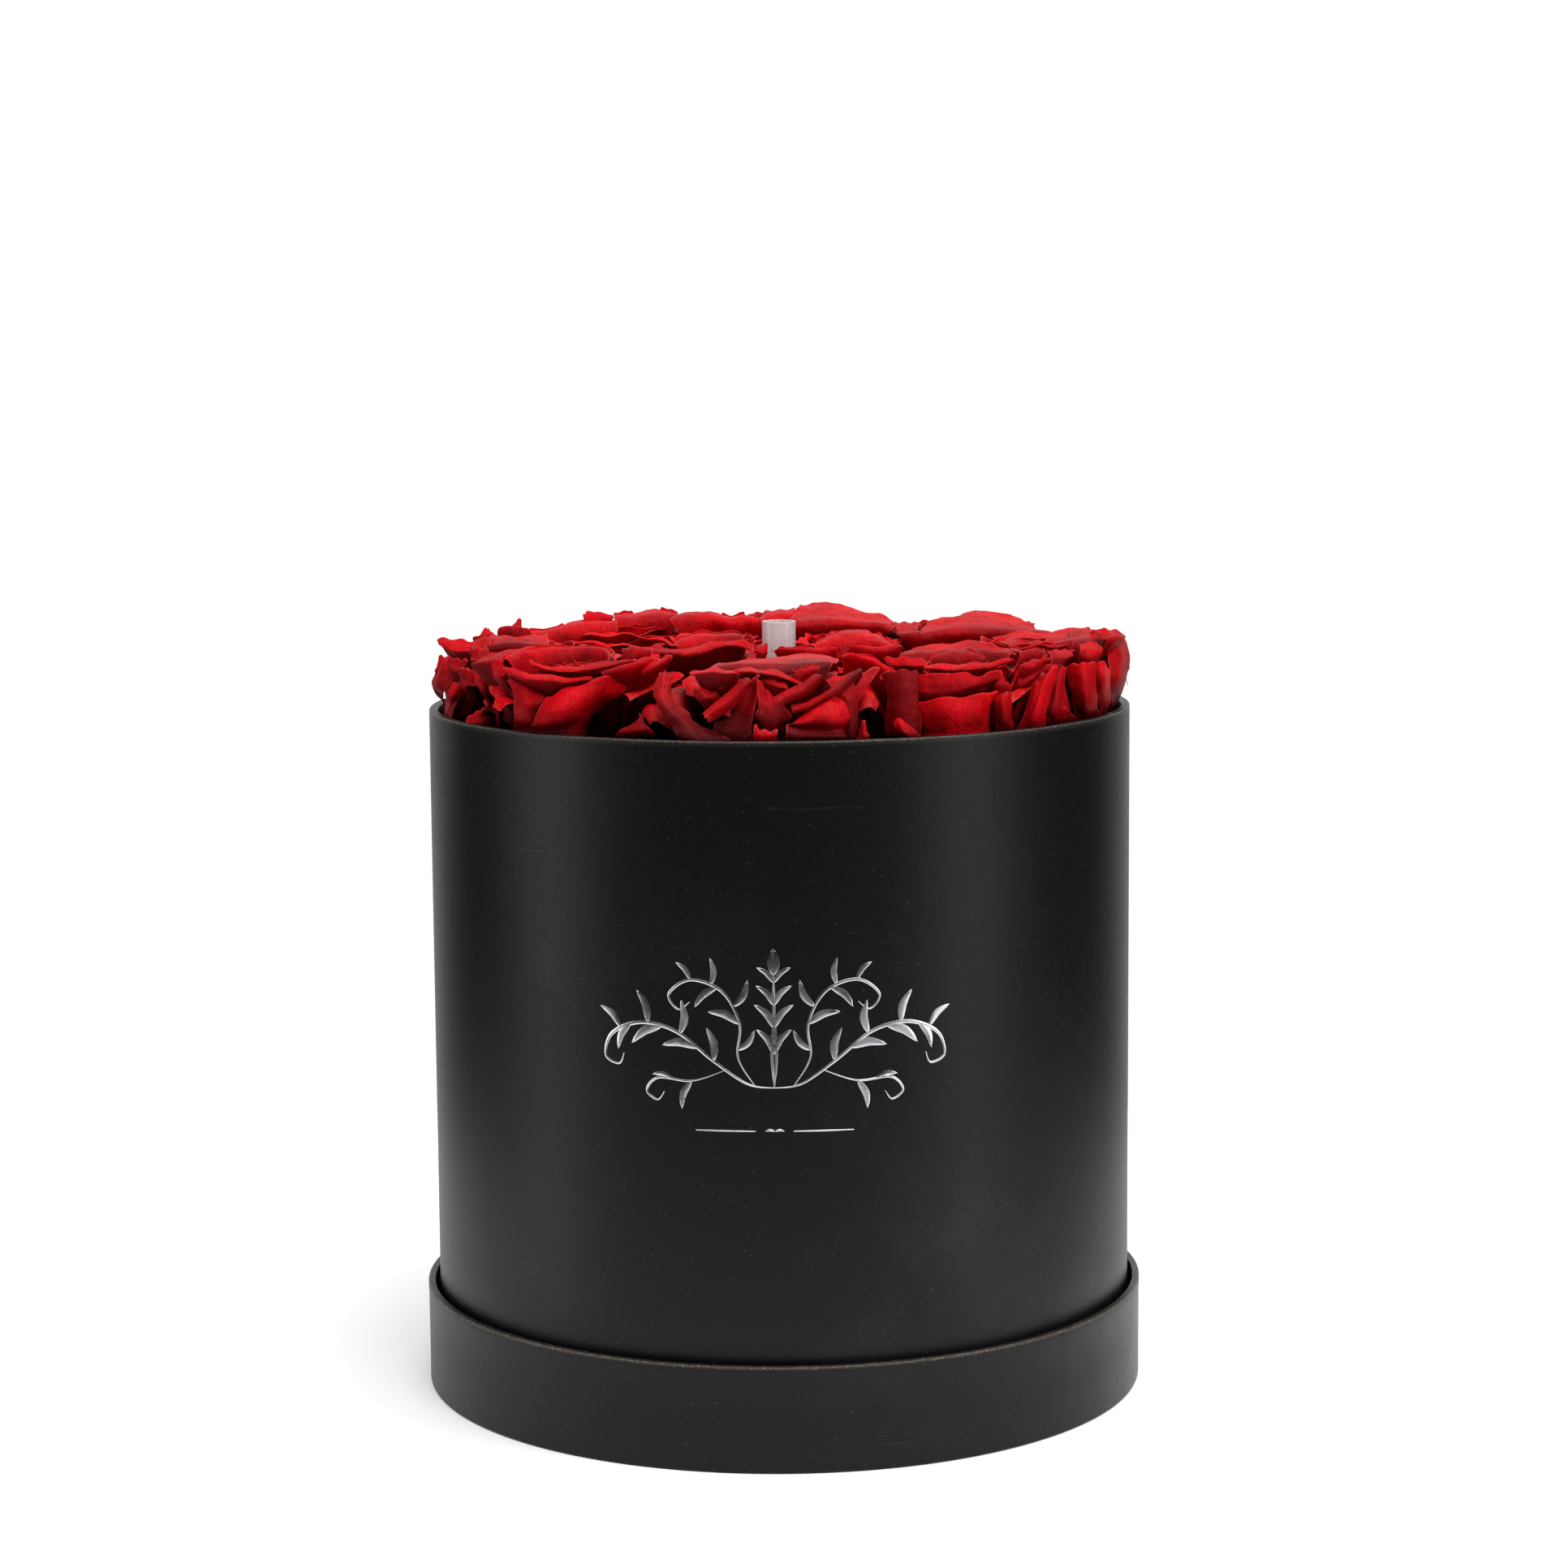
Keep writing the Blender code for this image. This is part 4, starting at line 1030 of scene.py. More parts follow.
@dataclass
class Rose:
    """A rose head seen from low down: a domed spiral of rims over a narrow waist."""

    node: str
    red: Red = Red.FRONT
    tall: float = 0.0438
    reach: float = 0.0250
    waist: float = 0.0105
    dome: float = 0.0050
    petals: int = 26
    crumple: float = 0.00035
    ripple: float = 0.0007
    roll: float = 100.0
    seed: int = 1
    belly: float = 0.0150
    open_side: float = -90.0
    open_half: float = 80.0
    open_from: float = 2.0
    depth: float = 0.0449

    def axis(self) -> Matrix:
        """Finds the rose's own frame from its node.

        Returns:
            The stem's axis, with its origin under the head.
        """
        low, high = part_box(self.node)
        middle = (Vector(low) + Vector(high)) / 2
        return Matrix.Translation((middle.x, middle.y, self.base()))

    def base(self) -> float:
        """The height where the head meets its calyx, below the top of its node."""
        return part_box(self.node)[1][2] - self.depth

    def ring(self, share: float, rng: Random) -> Petal:
        """Sizes a petal of the spiral.

        Args:
            share: Its place in the spiral, from 0 at the bud to 1 at the outside.
            rng: The rose's own random draws.

        Returns:
            The petal, not yet turned to its side.
        """
        height = self.tall
        roll_radius = (0.0008 + 0.0024 * share) * rng.uniform(0.7, 1.2)
        edge = 0.0024 + (self.reach - 0.0050) * share**0.9
        low = 0.0006 + self.waist * share**0.8
        open_roll = smoothstep(0.12, 0.75, share)
        return Petal(
            turn=0.0,
            foot=(low * 0.35, 0.0008 * (1 - share)),
            waist=(low * 1.15 + (self.belly - self.waist) * share, height * 0.45),
            shoulder=(edge * rng.uniform(0.93, 1.05), height - roll_radius - self.dome * share**1.8),
            lean=100.0 - 42.0 * smoothstep(0.05, 1.0, share) + rng.uniform(-5, 5),
            half_width=0.0110 + 0.0120 * share + rng.uniform(-0.001, 0.003),
            roll=10.0 + self.roll * open_roll * rng.uniform(0.55, 1.15),
            roll_radius=roll_radius,
            side_roll=5.0 + 25.0 * share,
            drop=(0.0012 + 0.0036 * share) * rng.uniform(0.6, 1.3),
            point=rng.choice((0.0, 0.0, 0.0008)) * share,
            spiral=0.0007 + 0.0004 * share,
            flare=0.0008 * share,
            ripple=self.ripple * share * rng.uniform(0.6, 1.3),
            ripples=rng.uniform(1.2, 2.6),
            crumple=self.crumple * (0.4 + 0.6 * share),
            tone=rng.random(),
        )

    def skirt(self, index: int, rng: Random) -> Petal:
        """Sizes one of the low outer petals that close the gap to the next rose.

        Args:
            index: Which one it is.
            rng: The rose's own random draws.

        Returns:
            The petal.
        """
        height = self.tall
        return Petal(
            turn=360.0 / SKIRT_PETALS * index + rng.uniform(-14, 14),
            foot=(0.0040, 0.0),
            waist=(self.belly, height * 0.30),
            shoulder=((self.reach + 0.0035) * rng.uniform(0.92, 1.04), height * rng.uniform(0.70, 0.80)),
            lean=32.0 + rng.uniform(-8, 8),
            half_width=0.0165,
            roll=70.0,
            roll_radius=0.0022,
            side_roll=25.0,
            drop=0.0045,
            point=0.0008,
            ripple=0.0011,
            crumple=0.0006,
            tone=rng.random() * 0.6,
        )

    def faces_wall(self, turn: float) -> bool:
        """Tells whether a direction from the rose points at the box's wall.

        Args:
            turn: The direction in degrees.

        Returns:
            True towards the wall.
        """
        middle = self.axis().translation
        if math.hypot(middle.x, middle.y) < INNER_CIRCLE:
            return False
        outward = math.degrees(math.atan2(middle.y, middle.x))
        return abs((turn - outward + 180) % 360 - 180) < WALL_HALF

    def shows_gap(self, turn: float) -> bool:
        """Whether a direction from a front rose looks into the dark gap beside it."""
        return self.open_from < 1.0 and abs((turn + 90 + 180) % 360 - 180) < GAP_HALF

    def makes_way(self, share: float, turn: float) -> bool:
        """Whether a petal of the spiral leaves its place to the rose's own free petals."""
        away = abs((turn - self.open_side + 180) % 360 - 180)
        return share > self.open_from and away < self.open_half

    def build(self, finishes: dict[object, bpy.types.Material]) -> None:
        """Builds the head, its calyx and stem as one piece that stands for the node.

        Args:
            finishes: The materials.
        """
        rng = Random(self.seed)
        shape = Shape()
        axis = self.axis()
        for index in range(self.petals):
            share = (index / (self.petals - 1)) ** 0.85
            petal = self.ring(share, rng)
            petal.turn = SPIRAL_TURN * index
            seed = rng.uniform(0.0, 50.0)
            if not self.makes_way(share, petal.turn):
                petal.add_to(shape, axis, seed)
        for index in range(SKIRT_PETALS):
            petal, seed = self.skirt(index, rng), rng.uniform(0.0, 50.0)
            if not (self.faces_wall(petal.turn) or self.shows_gap(petal.turn)):
                petal.add_to(shape, axis, seed)
        for sheet in SHEETS.get(self.node, ()):
            sheet.add_to(shape, rng.uniform(0.0, 50.0), axis.translation)
        self.add_calyx(shape, axis)
        piece = make_piece(f"{self.node}_petals", shape, [finishes[self.red], finishes["calyx"]], 60.0)
        face_out(piece)
        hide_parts(self.node)
        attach(piece, "tray")

    def add_calyx(self, shape: Shape, axis: Matrix) -> None:
        """Adds the green cup under the head, its five sepals and the stem in the foam.

        Args:
            shape: What they are added to.
            axis: The rose's own frame.
        """
        low = Vector(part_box(self.node)[0])
        middle = axis.translation
        stem = [(0.0001, low.z), (0.0014, low.z), *((radius, middle.z + height) for radius, height in CUP)]
        shape.lathe(stem, 14, 1, Vector((middle.x, middle.y, 0.0)))
        for step in range(SEPALS):
            sepal = Petal(
                turn=360.0 / SEPALS * step,
                foot=(0.0040, -0.0016),
                waist=(0.0062, 0.0010),
                shoulder=(0.0098, 0.0072),
                lean=52.0,
                half_width=0.0030,
                roll=40.0,
                roll_radius=0.0040,
                drop=0.0052,
                point=0.0030,
                crumple=0.0001,
            )
            sepal.add_to(shape, axis, step + 0.5, 1)


# ---------------------------------------------------------------- box and stand
@dataclass
class WrappedBox:
    """The box: a wrapped wall with a folded rim, over its inner sleeve and floor."""

    radius: float
    base: float
    rim: float
    wall: float = 0.0026
    edge: float = 0.00055
    turn_in: float = 0.0180
    steps: int = 256

    def outline(self) -> list[Point]:
        """Draws the wall's outline, up the outside, over the rim and down the inside.

        Returns:
            The outline as (radius, height) points.
        """
        out, inn, e = self.radius, self.radius - self.wall, self.edge
        line = [(out - 0.0004, self.base), (out, self.base + 0.0005)]
        line += [(out, self.base + (self.rim - self.base) * share) for share in (0.2, 0.4, 0.6, 0.8, 0.93)]
        line += [(out, self.rim - 3 * e)]
        line += rounded(out - e, self.rim - e, e, 0, 90, 5)
        line += [(out - 1.4 * e, self.rim - 0.00004), ((out + inn) / 2, self.rim - 0.00016)]
        line += rounded(inn + e, self.rim - e, e, 90, 180, 5)
        lip = 0.00018
        line += [(inn, self.rim - 3 * e), (inn, self.rim - self.turn_in), (inn + lip, self.rim - self.turn_in - 0.0003)]
        line += [(inn + lip, self.base + 0.0004), (inn + 0.0004, self.base)]
        return line

    def build(self, finishes: dict[object, bpy.types.Material]) -> None:
        """Builds the wall with its rear port hole and screw holes.

        Args:
            finishes: The materials.
        """
        shape = Shape()
        shape.lathe(self.outline(), self.steps)
        mark_edges(shape, [(self.radius, self.rim), (self.radius - self.wall, self.rim)], 0.0007)
        piece = make_piece("box_wrap", shape, [finishes["wrap"]])
        face_out(piece)
        low, high = (Vector(corner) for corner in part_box("port_core"))
        grow = Vector((0.0003, 0.02, 0.0003))
        tools = [brick(low - grow, high + grow)]
        for screw in ("port_screw_low", "port_screw_high"):
            a, b = (Vector(corner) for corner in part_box(screw))
            tools.append(level_rod(Vector(((a.x + b.x) / 2, self.radius - 0.0015, (a.z + b.z) / 2)), 0.0015, 0.02))
        carve(piece, tools)
        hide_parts("box_wall")
        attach(piece, "box")
        LOG.info("box wall wrapped")


def level_rod(middle: Vector, radius: float, length: float) -> Shape:
    """Makes a round bar that lies along Y.

    Args:
        middle: Its middle.
        radius: Its radius.
        length: Its length.

    Returns:
        The closed bar.
    """
    shape = Shape()
    steps = 20
    for end in (-0.5, 0.5):
        ring = [
            middle + Vector((radius * math.cos(a), length * end, radius * math.sin(a)))
            for a in (math.tau * s / steps for s in range(steps))
        ]
        shape.points += ring
    shape.faces = [(s, (s + 1) % steps, steps + (s + 1) % steps, steps + s) for s in range(steps)]
    shape.faces += [tuple(reversed(range(steps))), tuple(range(steps, 2 * steps))]
    shape.slots = [0] * len(shape.faces)
    return shape


def rounded(x: float, y: float, radius: float, start: float, end: float, steps: int) -> list[Point]:
    """Draws an arc of an outline.

    Args:
        x: The middle's radius in the outline.
        y: The middle's height.
        radius: The arc's radius.
        start: Where it starts, in degrees.
        end: Where it ends, in degrees.
        steps: How many steps it has.

    Returns:
        Its points.
    """
    return [
        (
            x + radius * math.cos(math.radians(start + (end - start) * step / steps)),
            y + radius * math.sin(math.radians(start + (end - start) * step / steps)),
        )
        for step in range(steps + 1)
    ]


def mark_edges(shape: Shape, edges: list[Point], reach: float) -> None:
    """Paints how near each point is to a round edge.

    Args:
        shape: What is painted.
        edges: The round edges, as (radius, height).
        reach: How far from an edge the paint fades out.
    """
    values = []
    for point in shape.points:
        away = min(math.hypot(math.hypot(point.x, point.y) - r, point.z - z) for r, z in edges)
        values.append(max(0.0, 1.0 - away / reach))
    shape.marks["edge"] = values


@dataclass
class WrappedStand:
    """The upturned lid: a low wrapped wall with a folded rim and its turned-in edge."""

    radius: float
    height: float
    wall: float = 0.0020
    edge: float = 0.00045
    steps: int = 256

    def build(self, finishes: dict[object, bpy.types.Material]) -> None:
        """Builds the stand's wall.

        Args:
            finishes: The materials.
        """
        out, inn, e = self.radius, self.radius - self.wall, self.edge
        line = [(out - 0.0006, 0.0), *rounded(out - 0.0006, 0.0006, 0.0006, -90, 0, 4)]
        line += [(out, self.height * 0.5), (out, self.height - 0.0026)]
        line += [(out + 0.00012, self.height - 0.0023), (out + 0.00012, self.height - 2 * e)]
        line += rounded(out + 0.00012 - e, self.height - e, e, 0, 90, 5)
        line += [((out + inn) / 2, self.height - 0.00012)]
        line += rounded(inn + e, self.height - e, e, 90, 180, 5)
        line += [(inn, self.height * 0.5), (inn, 0.0)]
        shape = Shape()
        shape.lathe(line, self.steps)
        mark_edges(shape, [(out, self.height), (inn, self.height)], 0.0009)
        piece = make_piece("stand_wrap", shape, [finishes["wrap"]])
        face_out(piece)
        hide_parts("stand_wall")
        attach(piece, "stand")
        LOG.info("stand wrapped")


# ---------------------------------------------------------------- foil sprig
@dataclass(frozen=True)
class Stroke:
    """One foil stroke through (x, z) points in millimetres about the sprig's middle."""

    path: tuple[Point, ...]
    thin: float = 0.22
    thick: float = 0.90
    peak: float = 1.0


@dataclass
class FoilSprig:
    """A generic mirrored sprig of thin vines, curls and slim leaves in silver foil on the box's front."""

    radius: float
    middle: Point
    lift: float = 0.00012
    strokes: tuple[Stroke, ...] = (
        Stroke(
            ((0, -13), (7, -12), (16, -6), (26, 1.5), (36, 3.5), (44.5, 0), (46.5, -6), (42.5, -8), (41, -5)),
            0.22,
            1.0,
        ),
        Stroke(
            ((5, -12.6), (9.5, -5), (9, 4), (13.5, 12.5), (22, 15.5), (28, 11.5), (25.5, 7.5), (22.3, 9.6)),
            0.22,
            0.8,
        ),
        Stroke(((13, -8.4), (22, -11.5), (31, -11), (34.5, -14.5), (31.5, -17), (29.5, -14.6)), 0.2, 0.65),
        Stroke(((0, -13), (0.6, -4), (0, 6), (0, 17)), 0.22, 0.9),
        Stroke(((5, -24.6), (13, -24.6), (21, -24.6)), 0.25, 0.45),
    )
    leaves: tuple[tuple[float, float, float, float], ...] = (
        (16, -6, 78, 9), (20, -2.6, 2, 10), (25, 1, 92, 9), (30, 2.8, -30, 10), (34, 3.5, 70, 9),
        (39, 3, -62, 8), (42, 1.8, 42, 8), (9.6, -3, 130, 7), (9, 4, 20, 9), (10.6, 8.6, 118, 8),
        (15, 13.6, -42, 8), (16.5, 14.4, 88, 7), (22, 15.5, 48, 6), (22, -11.5, -70, 8), (27, -11.2, 10, 6),
        (0, -4, 55, 8), (0, 3, 50, 8), (0, 9, 48, 7), (0, 15, 42, 6), (0, 17, 90, 7), (0, -24.6, 0, 2.6),
    )

    def on_wall(self, spot: Vector, lift: float) -> Vector:
        """The point on the wall at arc length x and height z from the sprig's middle, lifted off it."""
        x, z = self.middle[0] + spot.x * MM, self.middle[1] + spot.y * MM
        return around(self.radius + lift, -90.0 + math.degrees(x / self.radius), z)

    def draw(self, shape: Shape, stroke: Stroke, way: float) -> None:
        """Adds a stroke as a low rounded ribbon that swells and thins out.

        Args:
            shape: What it is added to.
            stroke: The stroke.
            way: 1 as drawn, or -1 mirrored.
        """
        line = along_curve([Vector((x * way, z, 0.0)) for x, z in stroke.path], 9)
        section = ((-0.5, -0.8), (-0.5, 0.2), (-0.3, 0.85), (0.0, 1.0), (0.3, 0.85), (0.5, 0.2), (0.5, -0.8))
        points = []
        for index, spot in enumerate(line):
            ahead = (line[min(index + 1, len(line) - 1)] - line[max(index - 1, 0)]).normalized()
            aside = Vector((-ahead.y, ahead.x, 0.0))
            share = index / (len(line) - 1)
            width = stroke.thin + (stroke.thick - stroke.thin) * math.sin(math.pi * share**stroke.peak)
            points += [self.on_wall(spot + aside * part * width, up * self.lift) for part, up in section]
        faces = grid_faces(len(line), len(section), closed=True)
        start = (len(line) - 1) * len(section)
        faces += [tuple(reversed(range(len(section)))), tuple(start + i for i in range(len(section)))]
        shape.add(points, faces)

    def leaf(self, x: float, z: float, degrees: float, length: float) -> Stroke:
        """Draws a slim curved leaf.

        Args:
            x: Where its foot is, in millimetres to the right.
            z: How high its foot is, in millimetres.
            degrees: Where it points.
            length: Its length in millimetres.

        Returns:
            The leaf as a stroke.
        """
        ahead = Vector((math.cos(math.radians(degrees)), math.sin(math.radians(degrees))))
        bend = Vector((-ahead.y, ahead.x)) * 0.12 * length
        middle = Vector((x, z)) + ahead * length * 0.5 + bend
        return Stroke(((x, z), tuple(middle), tuple(Vector((x, z)) + ahead * length)), 0.06, 0.24 * length, 0.85)

    def build(self, finishes: dict[object, bpy.types.Material]) -> None:
        """Stamps the strokes and the leaves.

        Args:
            finishes: The materials.
        """
        shape = Shape()
        for way in (1.0, -1.0):
            for stroke in self.strokes:
                self.draw(shape, stroke, way)
            for leaf in self.leaves:
                self.draw(shape, self.leaf(*leaf), way)
        piece = make_piece("foil_sprig", shape, [finishes["foil"]], 50.0)
        face_out(piece)
        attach(piece, "box")
        LOG.info("foil sprig stamped")


# ---------------------------------------------------------------- outlet tube
@dataclass
class OutletTube:
    """The clear tube the scent leaves by, with a polished rim."""

    wall: float = 0.0009

    def build(self, finishes: dict[object, bpy.types.Material]) -> None:
        """Builds the tube.

        Args:
            finishes: The materials.
        """
        low, high = (Vector(corner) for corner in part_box("outlet_tube"))
        out, e = high.x, 0.00035
        inn = out - self.wall
        line = [(inn, low.z), (out - e, low.z), (out, low.z + e)]
        line += [(out, low.z + (high.z - low.z) * share) for share in (0.3, 0.6, 0.9)]
        line += rounded(out - e, high.z - e, e, 0, 90, 4) + rounded(inn + e, high.z - e, e, 90, 180, 4)
        shape = Shape()
        shape.lathe(line, 72)
        piece = make_piece("outlet_tube_clear", shape, [finishes["tube"]])
        face_out(piece)
        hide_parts("outlet_tube")
        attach(piece, "tube")
        LOG.info("outlet tube drawn")


# ---------------------------------------------------------------- finishes of the CAD pieces
PLAIN = {
    "calyx": PlainFinish("rose_calyx", (0.020, 0.045, 0.010), (0.055, 0.085, 0.022), 0.62, grain=500.0, depth=0.0001),
    "plastic": PlainFinish("moulded_plastic", (0.014, 0.014, 0.015), (0.024, 0.024, 0.026), 0.46),
    "button": PlainFinish("button_plastic", (0.20, 0.20, 0.21), (0.27, 0.27, 0.28), 0.28),
    "white": PlainFinish("white_plastic", (0.66, 0.65, 0.62), (0.78, 0.77, 0.74), 0.38),
    "rubber": PlainFinish("silicone_rubber", (0.48, 0.48, 0.46), (0.60, 0.60, 0.58), 0.62, depth=0.00004),
    "steel": PlainFinish("plated_steel", (0.50, 0.50, 0.52), (0.66, 0.66, 0.68), 0.30, 1.0, stretch=(1.0, 1.0, 8.0)),
    "brass": PlainFinish("turned_brass", (0.62, 0.42, 0.16), (0.78, 0.57, 0.25), 0.28, 1.0, stretch=(0.2, 0.2, 6.0)),
    "battery": PlainFinish("battery_sleeve", (0.012, 0.10, 0.26), (0.020, 0.16, 0.38), 0.30, grain=500.0),
    "cable": PlainFinish("cable_jacket", (0.018, 0.018, 0.019), (0.032, 0.032, 0.033), 0.55),
}
NODE_FINISHES = {
    "wrap": ("stand_panel",),
    "board": ("box_floor", "support_sleeve", "tray_disc"),
    "foam": ("foam_block",),
    "plastic": (
        "tube_guide",
        "port_plate",
        "port_core",
        "port_clamp",
        "diffuser_base",
        "diffuser_shell",
        "diffuser_cover",
        "control_chip",
        "pump_crankcase",
    ),
    "circuit": ("port_board", "main_board"),
    "steel": (
        "button_switch",
        "charge_socket",
        "port_screw_low",
        "port_screw_high",
        "cover_screw_1",
        "cover_screw_2",
        "cover_screw_3",
        "pump_motor",
        "pump_crank",
    ),
    "button": ("power_button",),
    "light": ("status_light", "dip_tube"),
    "rubber": ("floor_pad", "tube_seal", "bottle_gasket", "pump_boot", "pump_diaphragm", "air_hose"),
    "white": ("atomiser_body", "battery_cradle", "pump_valve_head"),
    "brass": ("atomiser_jet",),
    "glass": ("oil_bottle",),
    "battery": ("battery_cell",),
    "cable": ("port_cable",),
}


def make_finishes() -> dict[object, bpy.types.Material]:
    """Builds every finish once.

    Returns:
        The materials by name, and the petals' by their red.
    """
    made: dict[object, bpy.types.Material] = {key: plain.build() for key, plain in PLAIN.items()}
    made |= {red: petal.build() for red, petal in PETALS.items()}
    made["wrap"] = WrapFinish().build()
    made["foil"] = FoilFinish().build()
    made["foam"] = FoamFinish().build()
    made["board"] = BoardFinish().build()
    made["circuit"] = CircuitFinish().build()
    made["tube"] = ClearFinish("clear_tube", (1.0, 0.95, 0.96), 0.30, 0.62).build()
    made["light"] = ClearFinish("clear_plastic", (0.88, 0.90, 0.92), 0.15, 0.85).build()
    made["glass"] = ClearFinish("amber_glass", (0.42, 0.17, 0.04), 0.06, 0.9, 1.5).build()
    return made


def dress_nodes(finishes: dict[object, bpy.types.Material], nodes: dict[str, bpy.types.Object]) -> None:
    """Gives each carried-over CAD node its detailed finish.

    Args:
        finishes: The materials.
        nodes: The CAD nodes by name.
    """
    for finish, names in NODE_FINISHES.items():
        for name in names:
            for slot in nodes[name].material_slots:
                slot.material = finishes[finish]
            if not nodes[name].material_slots:
                nodes[name].data.materials.append(finishes[finish])
    LOG.info("%d nodes dressed", sum(len(names) for names in NODE_FINISHES.values()))


# ---------------------------------------------------------------- studio
@dataclass
class Studio:
    """A pale round table, bright surroundings behind the box, soft lights and the camera."""

    eye: tuple[float, float, float] = (0.00114, -1.0189, 0.29927)
    pitch: float = 7.158
    roll: float = 0.446
    lens: float = 81.954
    table: float = 0.37

    def camera(self) -> None:
        """Places the camera."""
        data = bpy.data.cameras.new("studio_camera")
        data.sensor_width = 36.0
        data.lens = self.lens
        data.clip_start = 0.05
        camera = bpy.data.objects.new("studio_camera", data)
        turn = Matrix.Rotation(math.radians(90 - self.pitch), 4, "X")
        lean = Matrix.Rotation(math.radians(-self.roll), 4, "Z")
        camera.matrix_world = Matrix.Translation(self.eye) @ turn @ lean
        bpy.context.scene.collection.objects.link(camera)
        bpy.context.scene.camera = camera

    def softbox(self, name: str, place: Vector, aim: Vector, size: Point, glow: float) -> None:
        """Adds a rectangular light.

        Args:
            name: The light's name.
            place: Where it is.
            aim: What it points at.
            size: Its width and height.
            glow: How bright its surface is.
        """
        data = bpy.data.lights.new(name, "AREA")
        data.shape = "RECTANGLE"
        data.size, data.size_y = size
        data.energy = glow * math.pi * size[0] * size[1]
        lamp = bpy.data.objects.new(name, data)
        lamp.location = place
        lamp.rotation_euler = (aim - place).to_track_quat("-Z", "Y").to_euler()
        bpy.context.scene.collection.objects.link(lamp)

    def overhead(self, name: str, towards: Vector, strength: float, spread: float) -> None:
        """Adds a broad even light from far above.

        Args:
            name: The light's name.
            towards: The way it shines.
            strength: How bright it is.
            spread: How wide it looks, in degrees.
        """
        data = bpy.data.lights.new(name, "SUN")
        data.energy = strength
        data.angle = math.radians(spread)
        lamp = bpy.data.objects.new(name, data)
        lamp.rotation_euler = towards.to_track_quat("-Z", "Y").to_euler()
        bpy.context.scene.collection.objects.link(lamp)

    def floor(self) -> None:
        """Adds the pale round table top."""
        shape = Shape()
        steps = 96
        shape.add([around(self.table, 360 * s / steps, -0.0001) for s in range(steps)], [tuple(range(steps))])
        nodes = Nodes("studio_floor")
        nodes.set(Base_Color=(0.96, 0.96, 0.96, 1.0), Roughness=0.9, Specular_IOR_Level=0.2)
        make_piece("studio_floor", shape, [nodes.material])

    def world(self) -> None:
        """Sets surroundings that are bright behind the box, dim in front of it and white to look at."""
        world = bpy.data.worlds.new("studio")
        world.use_nodes = True
        tree = world.node_tree
        away = tree.nodes.new("ShaderNodeSeparateXYZ")
        tree.links.new(tree.nodes.new("ShaderNodeTexCoord").outputs["Generated"], away.inputs[0])
        fall = tree.nodes.new("ShaderNodeMapRange")
        fall.interpolation_type = "SMOOTHSTEP"
        for key, value in (("From Min", 0.62), ("From Max", 0.95), ("To Min", 0.0), ("To Max", 1.0)):
            fall.inputs[key].default_value = value
        tree.links.new(away.outputs["Y"], fall.inputs["Value"])
        seen = tree.nodes.new("ShaderNodeMath")
        seen.operation = "MAXIMUM"
        tree.links.new(tree.nodes.new("ShaderNodeLightPath").outputs["Is Camera Ray"], seen.inputs[0])
        tree.links.new(fall.outputs["Result"], seen.inputs[1])
        background = tree.nodes["Background"]
        background.inputs["Color"].default_value = (1.0, 1.0, 1.0, 1.0)
        tree.links.new(seen.outputs[0], background.inputs["Strength"])
        bpy.context.scene.world = world
        bpy.context.scene.view_settings.view_transform = "Standard"

    def build(self) -> None:
        """Sets up the whole studio."""
        self.camera()
        self.floor()
        self.world()
        aim = Vector((0.0, 0.0, 0.12))
        self.softbox("left_softbox", around(1.3, -90 - 76, 0.40), aim, (0.42, 1.3), 4.2)
        self.softbox("right_softbox", around(1.3, -90 + 60, 0.40), aim, (0.42, 1.3), 4.2)
        self.softbox("front_softbox", Vector((0.25, -1.0, 1.25)), aim, (0.9, 0.5), 4.0)
        self.overhead("overhead", Vector((-0.18, 0.16, -1.0)), 3.6, 80.0)


